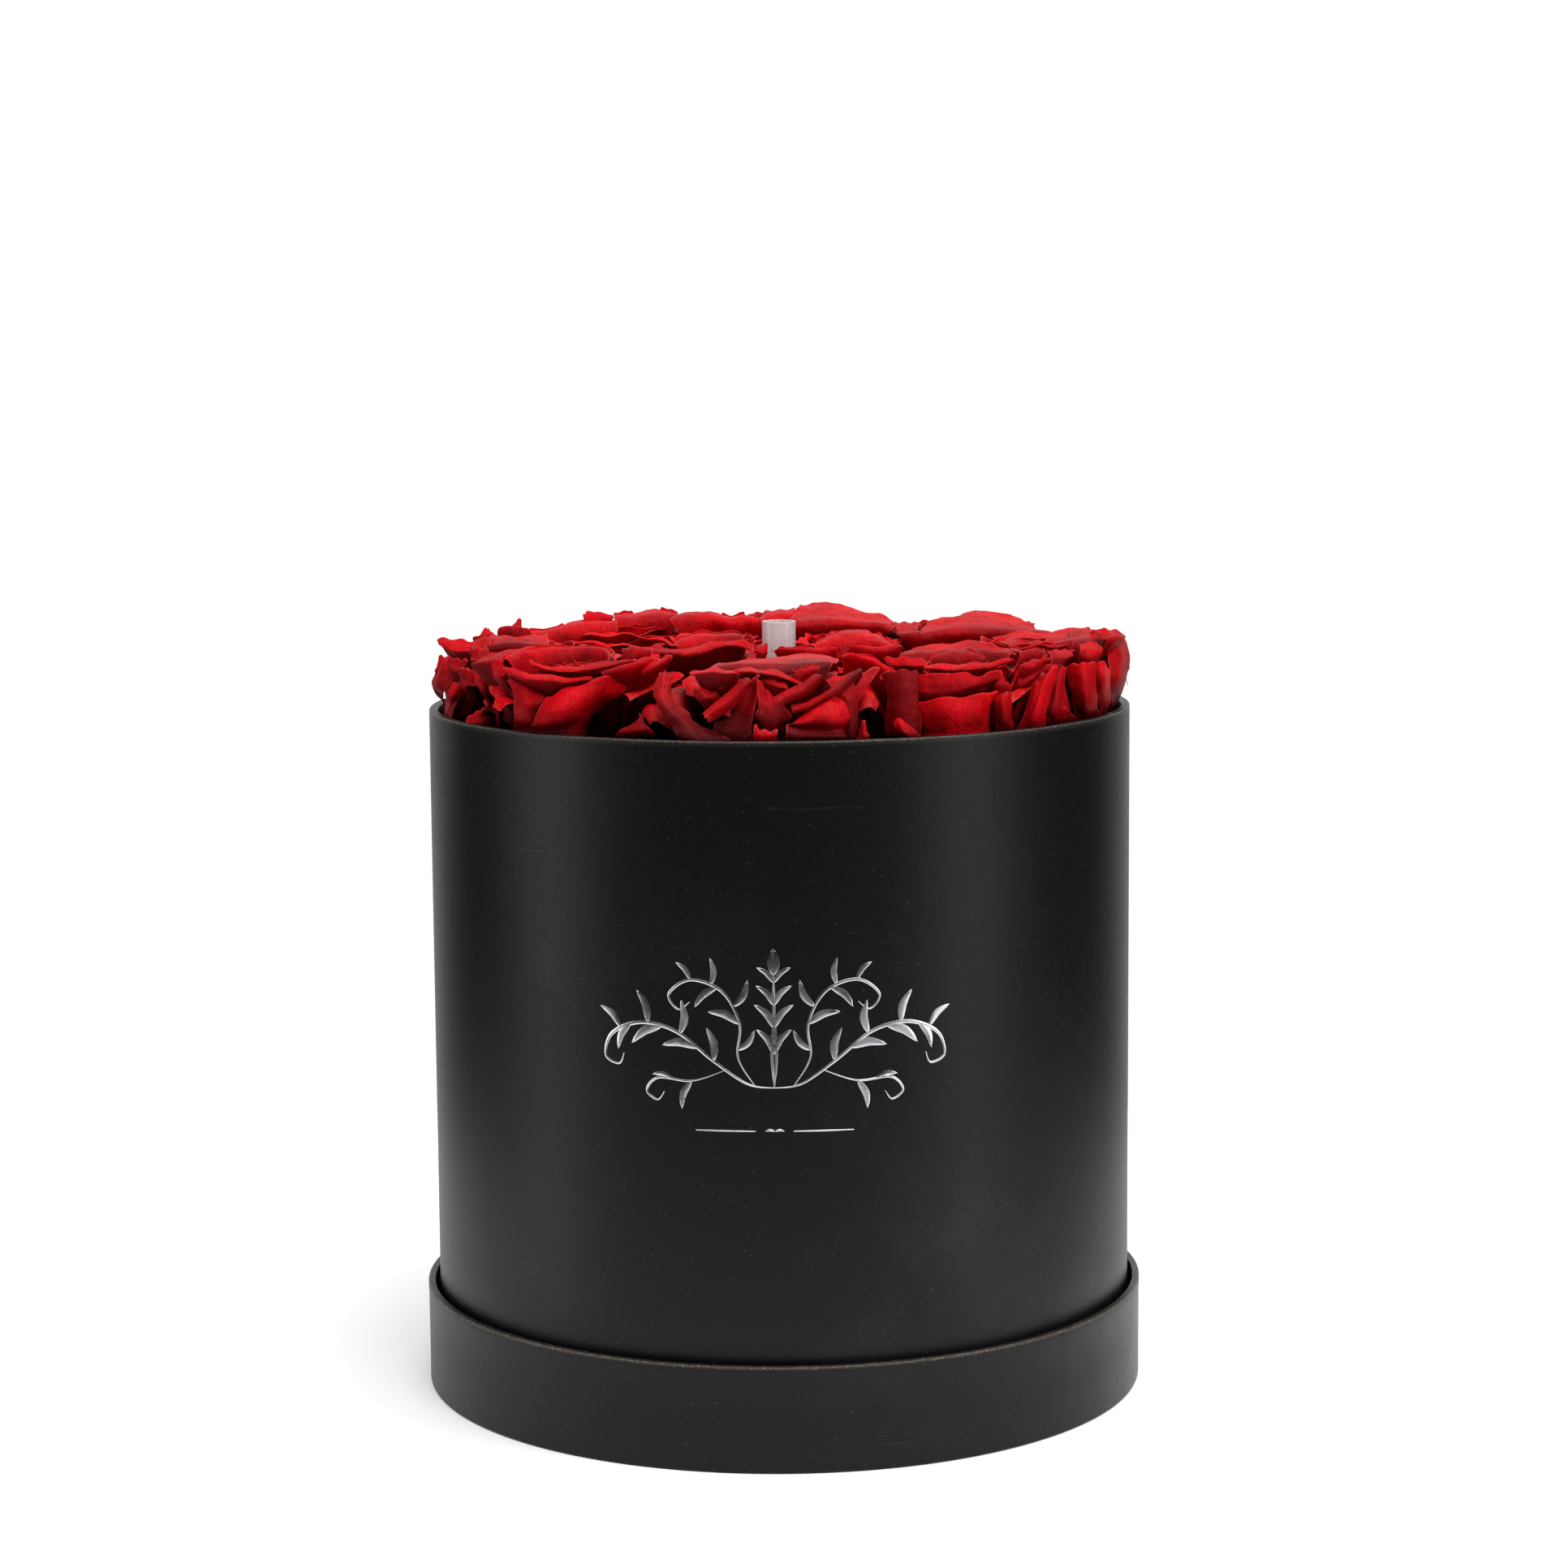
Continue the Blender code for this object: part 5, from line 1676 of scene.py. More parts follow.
SHEETS: dict[str, tuple[Sheet, ...]] = {
    "rose_inner_1": (
        Sheet(0.5, 0.3, True, (
            ((-16.6, -9.9, 41.7), (-8.4, -15.9, 42.1), (2.4, -17.9, 44), (8.5, -15.9, 44.5), (12.5, -11.9, 43)),
            ((-16, -13.9, 40.7), (-8.2, -21.9, 40.8), (-1.5, -23.9, 41.7), (5.1, -21.9, 43.4), (12.1, -15.9, 41.8)),
            ((-13.9, -11.9, 40), (-8.3, -19.9, 40.4), (-2.9, -21.9, 40.9), (2.4, -19.9, 42.4), (10.3, -14.9, 41.9)),
        )),
        Sheet(0.5, 0.2, True, (
            ((-9.7, 0.1, 42.6), (-4.5, 8.1, 43.9), (2.8, 8.1, 44.1), (10.1, 4.1, 43.9)),
            ((-9, -7.9, 41.9), (-3.8, -3.9, 42.9), (3, -3.9, 43.3), (9.3, -5.9, 43.4)),
        )),
        Sheet(0.7, 0.3, True, (
            ((12.6, -1.9, 41.7), (14.2, -1.9, 40.7), (16.4, 0.1, 41.9)),
            ((12.9, -3.9, 40), (14.2, -3.9, 39.8), (16.2, -1.9, 39.4)),
            ((13.3, -3.9, 38.9), (14.6, -4.9, 38.5), (16, -2.9, 38.8)),
        )),
    ),
    "rose_inner_2": (
        Sheet(0.6, 0.2, True, (
            ((-19.3, -16.5, 41.4), (-15.3, -20.5, 42.3), (-8.3, -22.5, 42.5), (-1.2, -20.5, 42.4)),
            ((-18.9, -19.5, 40.8), (-14.9, -24.5, 41.7), (-8.3, -26.5, 41.6), (-2.1, -22.5, 41.6)),
        )),
        Sheet(0.5, 0.2, True, (
            ((0.2, -18.5, 43.1), (5.8, -22.5, 43), (12.4, -22.5, 42.9), (15.5, -18.5, 42.8)),
            ((1.4, -22.5, 42), (5.7, -26.5, 41.9), (12.3, -26.5, 41.6), (15.5, -20.5, 41.7)),
        )),
        Sheet(0.75, 0.55, True, (
            ((-7.5, 13.5, 40.8), (-1.9, 23.5, 42.9), (4.7, 27.5, 43.4), (9.7, 23.5, 42.5), (14, 13.5, 39.9)),
            ((-7.8, 1.5, 40.9), (-2.1, 7.5, 41.7), (4.3, 9.5, 41.7), (9.2, 7.5, 41.4), (13.1, -0.5, 40.7)),
        )),
        Sheet(0.7, 0.2, True, (
            ((-2.2, -26.5, 40.6), (1.3, -28.5, 41.5), (7.8, -28.5, 39.9), (12.1, -32.5, 36.7)),
            ((-0.9, -30.5, 40.1), (3.4, -33.5, 40.4), (8.6, -34.5, 38.7), (11.1, -36.5, 36.6)),
        )),
    ),
    "rose_outer_1": (
        Sheet(0.45, 0.5, True, (
            ((-29.6, -9.4, 39.3), (-27.9, -10.4, 39.5), (-26.2, -11.4, 38.8)),
            ((-31.1, -11.4, 34.9), (-28.7, -13.9, 34.7), (-26.2, -12.4, 35)),
            ((-28.3, -14.4, 30.5), (-25.2, -17.4, 30.4), (-21.7, -15.4, 30.4)),
            ((-25.9, -16.4, 26.9), (-22.3, -19.4, 26.8), (-19, -17.4, 26.8)),
            ((-23.6, -18.4, 22.9), (-18.9, -21.4, 22.8), (-9.7, -19.4, 22.9)),
        )),
        Sheet(0.35, 0.25, False, (
            ((-17.8, -21.4, 30.1), (-16.9, -23.9, 29.1), (-15.6, -21.4, 27.6)),
            ((-11.9, -21.4, 34.9), (-10.4, -24.4, 33.8), (-9.2, -21.4, 32)),
            ((-5.3, -20.4, 39.3), (-4.5, -22.9, 38.6), (-3.9, -20.4, 37.3)),
        )),
        Sheet(0.3, 0.25, False, (
            ((-20.3, -18.4, 36), (-19.4, -19.9, 36.9), (-18.4, -18.4, 37.1)),
            ((-18.9, -18.4, 33.4), (-17.1, -20.4, 34.7), (-15.7, -18.4, 35.5)),
            ((-17.4, -18.4, 31.9), (-15, -20.4, 33.2), (-13, -18.4, 34.4)),
        )),
        Sheet(0.25, 0.35, True, (
            ((-6.2, -17.4, 37), (-4.7, -19.4, 38.7), (-3.3, -22.4, 39.8)),
            ((-10.5, -16.4, 31.5), (-6.7, -19.4, 33.4), (-3.4, -23.4, 34.2)),
            ((-14.8, -16.4, 27.3), (-8.8, -19.4, 28.8), (-4.4, -23.4, 29.2)),
            ((-13.9, -17.4, 23.1), (-8.8, -20.4, 23.2), (-4.5, -22.9, 23.5)),
        )),
        Sheet(0.3, 0.4, False, (
            ((-3, -21.9, 39.7), (-1.2, -17.4, 35.7), (1.3, -15.4, 33.4)),
            ((-3.2, -22.4, 35), (-0.4, -19.4, 33.2), (2.1, -17.4, 32.7)),
            ((-3.4, -22.9, 31.7), (0.5, -21.4, 31), (5.5, -19.4, 29.5)),
            ((-4.2, -22.4, 28.5), (-0.4, -21.4, 25.2), (3.4, -19.4, 26.6)),
        )),
        Sheet(0.9, 0.2, False, (
            ((-4.1, -24.4, 28), (-2.1, -24.5, 26.1), (2.1, -24.4, 25.9)),
            ((-4.4, -24.4, 23.6), (-1.7, -24.6, 23.4), (1.7, -24.4, 23.4)),
        )),
        Sheet(0.4, 0.25, False, (
            ((1.3, -20.4, 34.1), (2.2, -22.9, 33.5), (3.4, -20.4, 32.5)),
            ((7.2, -20.4, 37.2), (8.4, -23.4, 36.2), (9.5, -20.4, 34.5)),
            ((12.5, -19.4, 39.7), (13.9, -21.4, 39.8), (14.8, -19.4, 38.7)),
        )),
        Sheet(0.5, 0.3, False, (
            ((5.5, -21.4, 31.6), (5.7, -22.4, 30.9), (6.1, -21.4, 30.1)),
            ((10.9, -22.4, 33.8), (11.8, -24.4, 33.4), (12.6, -22.4, 32.7)),
            ((18.1, -21.4, 38.1), (18.9, -23.4, 37.4), (19.3, -21.4, 35.9)),
            ((23.6, -19.4, 41), (24, -21.4, 40.5), (24.2, -19.4, 39.5)),
        )),
        Sheet(0.85, 0.7, True, (
            ((6.3, -21.4, 28.5), (12.6, -21.4, 32.8), (16.8, -20.4, 35), (21.5, -17.4, 36.8)),
            ((7.1, -22.9, 28.8), (13, -25.9, 31), (17.2, -24.4, 32.5), (22.1, -18.4, 33.5)),
            ((5.9, -23.4, 27.6), (12.5, -26.4, 28.5), (17.1, -25.9, 28.5), (22.5, -19.4, 29.4)),
            ((5, -21.4, 27.2), (11.3, -22.9, 26.8), (16.7, -23.4, 26.1), (22.3, -19.4, 26.4)),
            ((4.2, -23.4, 26), (10.9, -24.4, 25.4), (16.3, -23.8, 24.9), (22.2, -19.4, 24.3)),
            ((4.2, -23.4, 23.2), (10.8, -24.6, 23.1), (16.3, -24, 23), (22, -19.4, 22.6)),
        )),
        Sheet(0.6, 0.5, True, (
            ((15.2, -17.4, 38.5), (21.5, -17.4, 40.2), (28.4, -13.4, 40.8)),
            ((16, -19.4, 37), (20.6, -20.4, 37.1), (26.2, -16.4, 37.3)),
            ((16.8, -20.4, 34.6), (20.1, -22.4, 34.8), (24, -18.4, 34.1)),
            ((18.5, -20.4, 31.2), (20.5, -22.4, 31.4), (22.7, -19.4, 31.1)),
            ((18.9, -19.4, 23.1), (20.7, -21.4, 23.3), (22.3, -18.4, 23)),
        )),
        Sheet(0.5, 0.4, True, (
            ((-20.9, -17.4, 40.5), (-14.6, -16.4, 41.4), (-7.9, -15.4, 39.8)),
            ((-20.4, -20.4, 39.9), (-14.5, -20.4, 40.7), (-7.9, -19.4, 39.8)),
            ((-19.2, -19.4, 39), (-13.7, -20.4, 39.3), (-8.7, -19.4, 39.1)),
        )),
        Sheet(0.35, 0.3, True, (
            ((-11.3, -13.4, 40.8), (-4.5, -13.4, 41.1), (2.2, -13.4, 40.6), (8.9, -13.4, 37.8)),
            ((-10.4, -16.4, 40.3), (-4.1, -17.4, 40.5), (2.2, -17.4, 39.9), (8.1, -16.4, 37.2)),
            ((-7.9, -15.4, 39.8), (-3.7, -16.4, 39.4), (1.8, -16.4, 38.8), (6.4, -15.4, 36.7)),
        )),
        Sheet(0.4, 0.3, True, (
            ((-13.7, 6.6, 41.2), (-4.7, 10.6, 41.4), (4.8, 14.6, 41.9), (14.4, 14.6, 42.2), (18.6, 8.6, 41.2)),
            ((-15.7, -3.4, 40.4), (-6.3, -1.4, 41.2), (3.9, 0.6, 41.6), (12.5, 0.6, 42), (17.6, -1.4, 41.1)),
            ((-13.9, -9.4, 40.1), (-6.3, -9.4, 40.7), (3, -9.4, 40.6), (10.7, -9.4, 40.8), (16.2, -7.4, 40.6)),
        )),
        Sheet(0.6, 0.4, True, (
            ((6.4, -11.4, 39.7), (9, -13.4, 40.7), (13, -13.4, 40.8)),
            ((6.8, -14.4, 39.2), (9.3, -16.4, 40), (12.7, -15.4, 40.3)),
        )),
        Sheet(0.25, 0.4, False, (
            ((-2.4, -15.4, 39.8), (0.5, -15.4, 39.3), (4.3, -15.4, 37.6)),
            ((-2, -16.4, 37.7), (0.5, -17.4, 37.4), (4.7, -17.4, 36.1)),
            ((-1.2, -15.4, 35.5), (1.3, -16.4, 35.2), (3.4, -16.4, 34.7)),
        )),
        Sheet(0.3, 0.5, False, (
            ((-15.9, -15.4, 38.6), (-12.1, -16.4, 38.4), (-7.5, -15.4, 38.3)),
            ((-15.5, -17.4, 37.1), (-12.9, -19.4, 36.8), (-9.6, -17.4, 37)),
            ((-13.4, -16.4, 35.3), (-11.7, -17.4, 34.9), (-10.9, -16.4, 35.3)),
        )),
        Sheet(0.6, 0.3, True, (
            ((23.9, -19.4, 27.3), (24.3, -20.4, 27.5), (24.8, -19.4, 27.1)),
            ((23.1, -19.4, 25.2), (24.3, -21.4, 25.6), (25.4, -19.4, 24.7)),
            ((22.2, -19.4, 22.6), (23.9, -21.4, 22.9), (25.4, -19.4, 22.6)),
        )),
    ),
    "rose_outer_2": (
        Sheet(0.85, 0.25, True, (
            ((-12.5, -26.4, 31.2), (-3.2, -31.4, 32.5), (5.9, -28.4, 33.2), (11.3, -22.4, 33.4)),
            ((-10.8, -27.4, 28.1), (-3.3, -33.4, 28.9), (4.1, -30.4, 29.1), (8.2, -24.4, 30.2)),
            ((-10, -27.4, 23.4), (-3.2, -32.6, 23.9), (4.2, -28.4, 23.8), (7.3, -24.4, 24.2)),
            ((-9.8, -26.4, 20.3), (-3.2, -32.4, 20.9), (4.2, -28.2, 20.8), (7.4, -23.4, 21.1)),
        )),
        Sheet(0.35, 0.4, True, (
            ((-11.9, -22.4, 37.9), (-2.1, -27.4, 38.7), (5.2, -26.4, 38.1), (10.8, -20.4, 39)),
            ((-11.6, -24.4, 35.1), (-2.2, -29.4, 35.5), (3.8, -28.4, 35.8), (11, -21.4, 37.2)),
            ((-10.9, -24.4, 31.4), (-4.3, -28.4, 31.8), (2.5, -27.4, 34), (8.8, -22.4, 35.8)),
        )),
        Sheet(0.6, 0.2, True, (
            ((-9.2, -18.4, 40.4), (-0.5, -21.4, 40.9), (6.3, -20.4, 41.3), (15, -12.4, 41.5)),
            ((-9.5, -21.4, 39.9), (-1.6, -25.4, 39.8), (5.3, -24.4, 40.1), (13.1, -15.4, 40.7)),
            ((-7.8, -20.4, 38.7), (-2, -24.4, 38.1), (4.5, -23.4, 38.3), (10, -16.4, 39.3)),
        )),
        Sheet(0.6, 0.2, True, (
            ((-19.9, -10.4, 41.6), (-14.8, -14.4, 42.1), (-8.4, -16.4, 41.1)),
            ((-19.1, -13.4, 40.3), (-14.1, -17.4, 40.4), (-8.8, -19.4, 40.1)),
            ((-17, -14.4, 38.9), (-12.8, -17.4, 38.5), (-9.6, -19.4, 38.9)),
        )),
        Sheet(0.5, 0.55, True, (
            ((-15.5, 11.6, 40.4), (-10.1, 18.6, 42.4), (-1, 23.6, 42.8), (7.9, 23.6, 42.8), (17.5, 13.6, 41.1)),
            ((-15.5, 5.6, 40.3), (-9.1, 11.6, 41.3), (-0.9, 15.6, 41.5), (7.4, 13.6, 41.6), (16.1, 5.6, 40.7)),
            ((-14.7, 1.6, 40), (-8.5, 3.6, 40.2), (-1, 5.6, 40.2), (6.8, 3.6, 40.5), (14.6, 1.6, 40.4)),
        )),
        Sheet(0.55, 0.3, True, (
            ((-7.6, -6.4, 40.7), (-2, 1.6, 42.1), (3.2, 1.6, 41.8), (7.7, -4.4, 40.4)),
            ((-7.3, -8.4, 40.2), (-2.4, -6.4, 40.8), (2.8, -6.4, 40.8), (7, -8.4, 40.3)),
        )),
        Sheet(0.3, 0.4, True, (
            ((16.2, -10.4, 37.4), (22.2, -8.4, 38.9), (29, 1.6, 38.6)),
            ((15.8, -13.4, 35.1), (18.7, -14.4, 36), (22, -10.4, 36.9)),
            ((14.3, -12.4, 33.2), (15.7, -14.4, 32.6), (17.1, -12.4, 31.7)),
            ((15, -12.4, 31.5), (16, -13.4, 30.9), (16.4, -12.4, 30.9)),
        )),
        Sheet(0.5, 0.3, True, (
            ((16.4, -10.4, 39.1), (19.4, -10.4, 40.2), (23.8, -6.4, 40.4)),
            ((16.3, -12.4, 38), (19.6, -13.4, 38.3), (23.9, -8.4, 39.7)),
        )),
        Sheet(0.45, 0.3, True, (
            ((16.3, 7.6, 41.6), (20.8, 9.6, 41.6), (24.3, 9.6, 41.2), (24.7, 3.6, 39.9)),
            ((17.2, 1.6, 40.2), (20.8, 3.6, 40.6), (23, 3.6, 40.4), (23.6, -0.4, 39.4)),
        )),
        Sheet(0.4, 0.3, True, (
            ((25.4, 11.6, 41.2), (29, 13.6, 41.3), (31.9, 15.6, 40.8)),
            ((26.4, 7.6, 40), (29.5, 7.6, 40.4), (32.5, 11.6, 39.6)),
            ((25.8, 5.6, 38), (29.3, 5.6, 38.2), (30.4, 8.6, 38.6)),
        )),
        Sheet(0.5, 0.2, False, (
            ((11.3, -22.4, 33.4), (12.5, -24.4, 33.6), (13.5, -21.4, 33.3)),
            ((8.9, -24.4, 31.5), (11, -27.4, 31.8), (13.4, -23.4, 31.3)),
            ((9.1, -24.4, 27.2), (11, -27.4, 27.5), (13.5, -23.4, 27.1)),
            ((9, -24.4, 22.9), (11.3, -23, 22.7), (13.8, -21, 22.5)),
        )),
        Sheet(0.45, 0.3, True, (
            ((10.7, -18.4, 38.6), (11.8, -21.4, 36.7), (13.5, -18.4, 34.7)),
            ((8, -21.4, 35), (9.9, -24.4, 34.5), (13.1, -21.4, 33.3)),
        )),
        Sheet(0.75, 0.2, True, (
            ((21.8, -10.4, 35.6), (24, -12.4, 37.5), (27.1, -6.4, 38.7)),
            ((19.6, -14.4, 31.7), (21.9, -17.4, 32.4), (24.9, -12.4, 32.3)),
            ((17.2, -17.4, 27.2), (20, -20.4, 27.5), (23.3, -14.4, 26.9)),
            ((15.2, -18.4, 22.2), (18.6, -16.6, 22), (22.3, -13, 22)),
        )),
        Sheet(0.45, 0.2, False, (
            ((19.6, -14.4, 34.9), (20.4, -17.4, 36.3), (21.7, -14.4, 35.5)),
            ((18.5, -17.4, 31.1), (19.6, -20.4, 31.4), (21.3, -17.4, 31.1)),
            ((15.6, -19.4, 24), (17.2, -18, 24.3), (19, -16.2, 24.1)),
        )),
        Sheet(0.55, 0.2, True, (
            ((-17.8, -33.4, 27.3), (-16.8, -34.4, 27.6), (-15.5, -33.4, 27.1)),
            ((-17.9, -34.4, 25.5), (-15.6, -36.4, 25.7), (-13.4, -34.4, 25.5)),
            ((-15.1, -34.4, 22.5), (-13.5, -36.4, 22.7), (-10.9, -34.4, 22.9)),
        )),
        # Painted shade: this petal's red is set very dark to stand in for the shadow on its rose's left side.
        Sheet(-0.7, 0.3, True, (
            ((-21, -18.4, 38), (-17.7, -22.4, 39), (-13.5, -24.4, 39.1), (-11.1, -24.4, 38)),
            ((-19.4, -22.4, 33.6), (-16.5, -26.4, 34), (-13.2, -27.4, 34.1), (-11.4, -26.4, 33.1)),
            ((-20.3, -24.4, 27), (-17, -28.4, 27.8), (-13.7, -29.4, 27.5), (-10.7, -28.4, 27.3)),
            ((-19.5, -24.4, 21), (-16.6, -28.4, 21.4), (-13.3, -29.4, 21.5), (-10.3, -28.4, 21.4)),
        )),
    ),
    "rose_outer_3": (
        Sheet(0.45, 0.2, True, (
            ((7.9, -41.5, 36.9), (11.7, -47.5, 38.5), (16.2, -41.5, 37.9)),
            ((8.9, -45.5, 32.4), (12.3, -51.5, 33), (16, -44.5, 32.3)),
            ((9.7, -46.5, 27.2), (12.7, -51.5, 27.7), (16.3, -45.5, 27.1)),
            ((10.4, -45.5, 22.3), (14, -41.7, 22.3), (17.8, -33.7, 21.8)),
        )),
        Sheet(0.6, 0.2, True, (
            ((16.4, -39.5, 37.5), (18.1, -39.5, 38.4), (20.7, -33.5, 35.2)),
            ((16, -41.5, 32), (18.2, -43.5, 33), (20.8, -35.5, 31.3)),
            ((17.8, -33.5, 23.1), (19.6, -29.1, 23.6), (20.8, -25.5, 23.6)),
        )),
        Sheet(0.5, 0.15, True, (
            ((17.3, -13.5, 44.6), (21.5, -11.5, 45.1), (26.8, -3.5, 43.5)),
            ((21.1, -21.5, 41.7), (24, -19.5, 41.9), (28, -7.5, 40.4)),
            ((21.2, -25.5, 37.5), (24.7, -21.5, 37.2), (28.8, -7.5, 35.9)),
            ((21.3, -27.5, 30.6), (24.1, -23.5, 30.1), (27.4, -9.5, 29.7)),
            ((22.1, -20.7, 23.6), (25.2, 0.7, 21.3), (25.2, 0.5, 22.2)),
        )),
        Sheet(0.3, 0.3, True, (
            ((13, -27.5, 41.8), (16.3, -25.5, 42.7), (19.4, -25.5, 41.1)),
            ((12.5, -33.5, 39.2), (15, -35.5, 38.5), (18, -31.5, 39)),
        )),
        Sheet(0.4, 0.4, True, (
            ((19.9, -19.5, 42.9), (22.8, -17.5, 43.8), (26.3, -11.5, 43.1)),
            ((20.3, -25.5, 42), (23, -25.5, 42.5), (26.1, -15.5, 41.6)),
        )),
        Sheet(0.5, 0.3, True, (
            ((2.1, -53.5, 29.3), (4.2, -55.5, 29.9), (6.9, -53.5, 28)),
            ((0.7, -55.5, 25.6), (2.7, -57.5, 27.5), (7.2, -55.5, 27.3)),
            ((1.1, -55.5, 22.5), (2.9, -55.5, 23), (10.2, -48.3, 22.6)),
        )),
        Sheet(0.3, 0.3, True, (
            ((5.2, -47.5, 37.5), (6.5, -47.5, 37.9), (8, -45.5, 37.3)),
            ((3, -53.5, 31.5), (4.6, -55.5, 31.7), (7.1, -51.5, 31.3)),
            ((1.4, -57.5, 24.9), (3.6, -57.5, 24), (8.4, -51.1, 24.2)),
        )),
        Sheet(0.7, 0.55, True, (
            ((-8.9, 10.5, 40.8), (-1.7, 14.5, 41.8), (8.5, 20.5, 41.7), (16.2, 22.5, 42.6), (19.9, 16.5, 42.6)),
            ((-7.8, -1.5, 40.2), (-1.1, 2.5, 40.7), (7.5, 6.5, 40.5), (14.9, 6.5, 41.2), (18.2, 2.5, 41.5)),
            ((-5.6, -11.5, 39.7), (1.3, -9.5, 39.7), (7.4, -7.5, 39.7), (13.6, -9.5, 40.3), (16.6, -11.5, 40.9)),
        )),
        Sheet(0.55, 0.2, True, (
            ((13.8, 16.5, 42.9), (18.8, 14.5, 43), (23.3, 8.5, 43.2), (26.5, 2.5, 43.2)),
            ((12.7, 2.5, 41.5), (17.6, 0.5, 42.1), (22.3, -3.5, 42.4), (26.6, -5.5, 42.3)),
            ((12, -11.5, 40), (16.4, -13.5, 40.6), (21.4, -13.5, 41), (25.4, -13.5, 41)),
        )),
        Sheet(0.5, 0.2, True, (
            ((17.5, -5.5, 43.8), (21.9, -7.5, 43.6), (26.3, -9.5, 43.3)),
            ((17.4, -17.5, 40), (21, -17.5, 40.4), (25.7, -15.5, 40.2)),
            ((17.8, -23.5, 36), (21, -22.5, 35.9), (25.3, -19.5, 35.6)),
        )),
    ),
    "rose_outer_4": (
        Sheet(0.75, 0.55, True, (
            ((-8, -8.1, 42.3), (0.5, -0.1, 44.2), (9.5, 6.9, 45.1), (17.4, 1.9, 43.9), (23.6, -6.1, 41.4)),
            ((-9.9, -20.1, 41.4), (-0.3, -16.1, 42.9), (8.9, -12.1, 43.2), (17.4, -14.1, 42.3), (25.9, -20.1, 41.1)),
            ((-11.3, -32.1, 40.5), (-1, -30.1, 41.2), (8, -28.1, 41.2), (17.7, -30.1, 40.6), (28.2, -34.1, 39.4)),
        )),
        Sheet(0.5, 0.3, True, (
            ((-18.7, -14.1, 43.1), (-14.4, -12.1, 43.4), (-10.2, -14.1, 43.5)),
            ((-17.6, -24.1, 41.3), (-14.4, -26.1, 41.9), (-11, -24.1, 42)),
            ((-16.1, -36.1, 40.7), (-13.4, -38.1, 41), (-10.5, -36.1, 41.3)),
        )),
    ),
    "rose_outer_5": (
        Sheet(0.8, 0.55, True, (
            (
                (1.9, -20.6, 45.9), (4.9, -12.6, 47.4), (9.8, -8.6, 47.6),
                (19, -10.6, 45.7), (27.1, -14.6, 44), (34.1, -20.6, 42.3),
            ),
            (
                (0.9, -34.6, 44.4), (5.7, -28.6, 45.3), (10.5, -26.6, 45.6),
                (18.6, -28.6, 44.7), (25.7, -30.6, 43.4), (32.3, -34.6, 42.2),
            ),
            (
                (0, -46.6, 43), (5.6, -44.6, 43.2), (11.3, -42.6, 43.3),
                (18.4, -42.6, 43), (25.4, -44.6, 42.6), (30, -46.6, 41.8),
            ),
        )),
        Sheet(0.6, 0.2, True, (
            ((-8.4, -20.6, 44), (-6.3, -14.6, 45.5), (-1.9, -10.6, 45.4), (2, -12.6, 46)),
            ((-7.6, -32.6, 42.4), (-4.8, -28.6, 43.4), (-1.4, -26.6, 43.7), (1.9, -28.6, 43.9)),
        )),
        Sheet(0.6, 0.2, True, (
            (
                (-33.9, -20.6, 44.7), (-28.1, -12.6, 45.4), (-23.3, -10.6, 45.1),
                (-17.4, -14.6, 43.9), (-12.6, -12.6, 44.1), (-8.2, -16.6, 43.6),
            ),
            (
                (-34.3, -32.6, 43.3), (-27.8, -26.6, 43.9), (-23, -24.6, 43.7),
                (-17.2, -26.6, 42.9), (-12.5, -24.6, 42.9), (-7.7, -26.6, 42.3),
            ),
        )),
    ),
    "rose_outer_6": (
        Sheet(0.7, 0.55, True, (
            ((-1.7, 3.4, 44.7), (3.9, 8.4, 44.5), (9.2, 12.4, 45.4), (14.6, 10.4, 45), (17.5, 6.4, 44.1)),
            ((-1.5, -9.6, 43.6), (5, -5.6, 43.4), (10.7, -3.6, 44), (15.5, -5.6, 43.8), (17.9, -7.6, 43.3)),
        )),
        Sheet(0.6, 0.2, True, (
            ((-25.7, -13.6, 41.4), (-17.9, -7.6, 41.9), (-13, -1.6, 43.5), (-6.8, 0.4, 43.5), (-0.5, -1.6, 43.6)),
            ((-25.2, -27.6, 40.7), (-18, -21.6, 40.9), (-11.6, -17.6, 41.9), (-5.6, -15.6, 42.2), (0.6, -15.6, 42.1)),
        )),
        Sheet(0.7, 0.2, False, (
            ((-10.6, -3.6, 44.8), (-9.7, 0.4, 45.9), (-6.9, 2.4, 45.8), (-1.8, 0.4, 44.2)),
            ((-10, -7.6, 44.2), (-8.4, -5.6, 44.5), (-5.7, -3.6, 44.3), (-1.8, -3.6, 43.8)),
        )),
    ),
    "rose_outer_7": (
        Sheet(0.3, 0.5, True, (
            ((-26.1, -12.5, 38.1), (-24.1, -16.5, 38), (-21.5, -20.5, 37.2)),
            ((-27.1, -14.5, 33.5), (-24.8, -19.5, 33.9), (-20.7, -22.5, 33.7)),
            ((-28.2, -14.5, 30.7), (-26.2, -19.5, 30.3), (-23.7, -22.5, 29.2)),
            ((-25.7, -16.5, 27.7), (-25.2, -4.5, 23.8), (-25.2, -4.1, 22.8)),
        )),
        Sheet(0.6, 0.4, True, (
            ((-21, -26.5, 32.1), (-19.4, -29.5, 31.9), (-17.5, -28.5, 30.9)),
            ((-22.7, -26.5, 28.7), (-20.7, -30.5, 28.6), (-18.8, -29.5, 28.1)),
            ((-25.2, -4.3, 23.3), (-22.9, -22.3, 24.7), (-20.4, -29.5, 24.9)),
            ((-25.2, -4.3, 18.2), (-23.1, -21.3, 19.6), (-20.6, -28.5, 19.9)),
        )),
        Sheet(0.5, 0.7, True, (
            ((-27.2, -4.5, 42), (-20.5, -10.5, 42.6), (-11, -14.5, 43.4)),
            ((-26.6, -8.5, 40.7), (-20, -16.5, 40.7), (-11.3, -22.5, 41.3)),
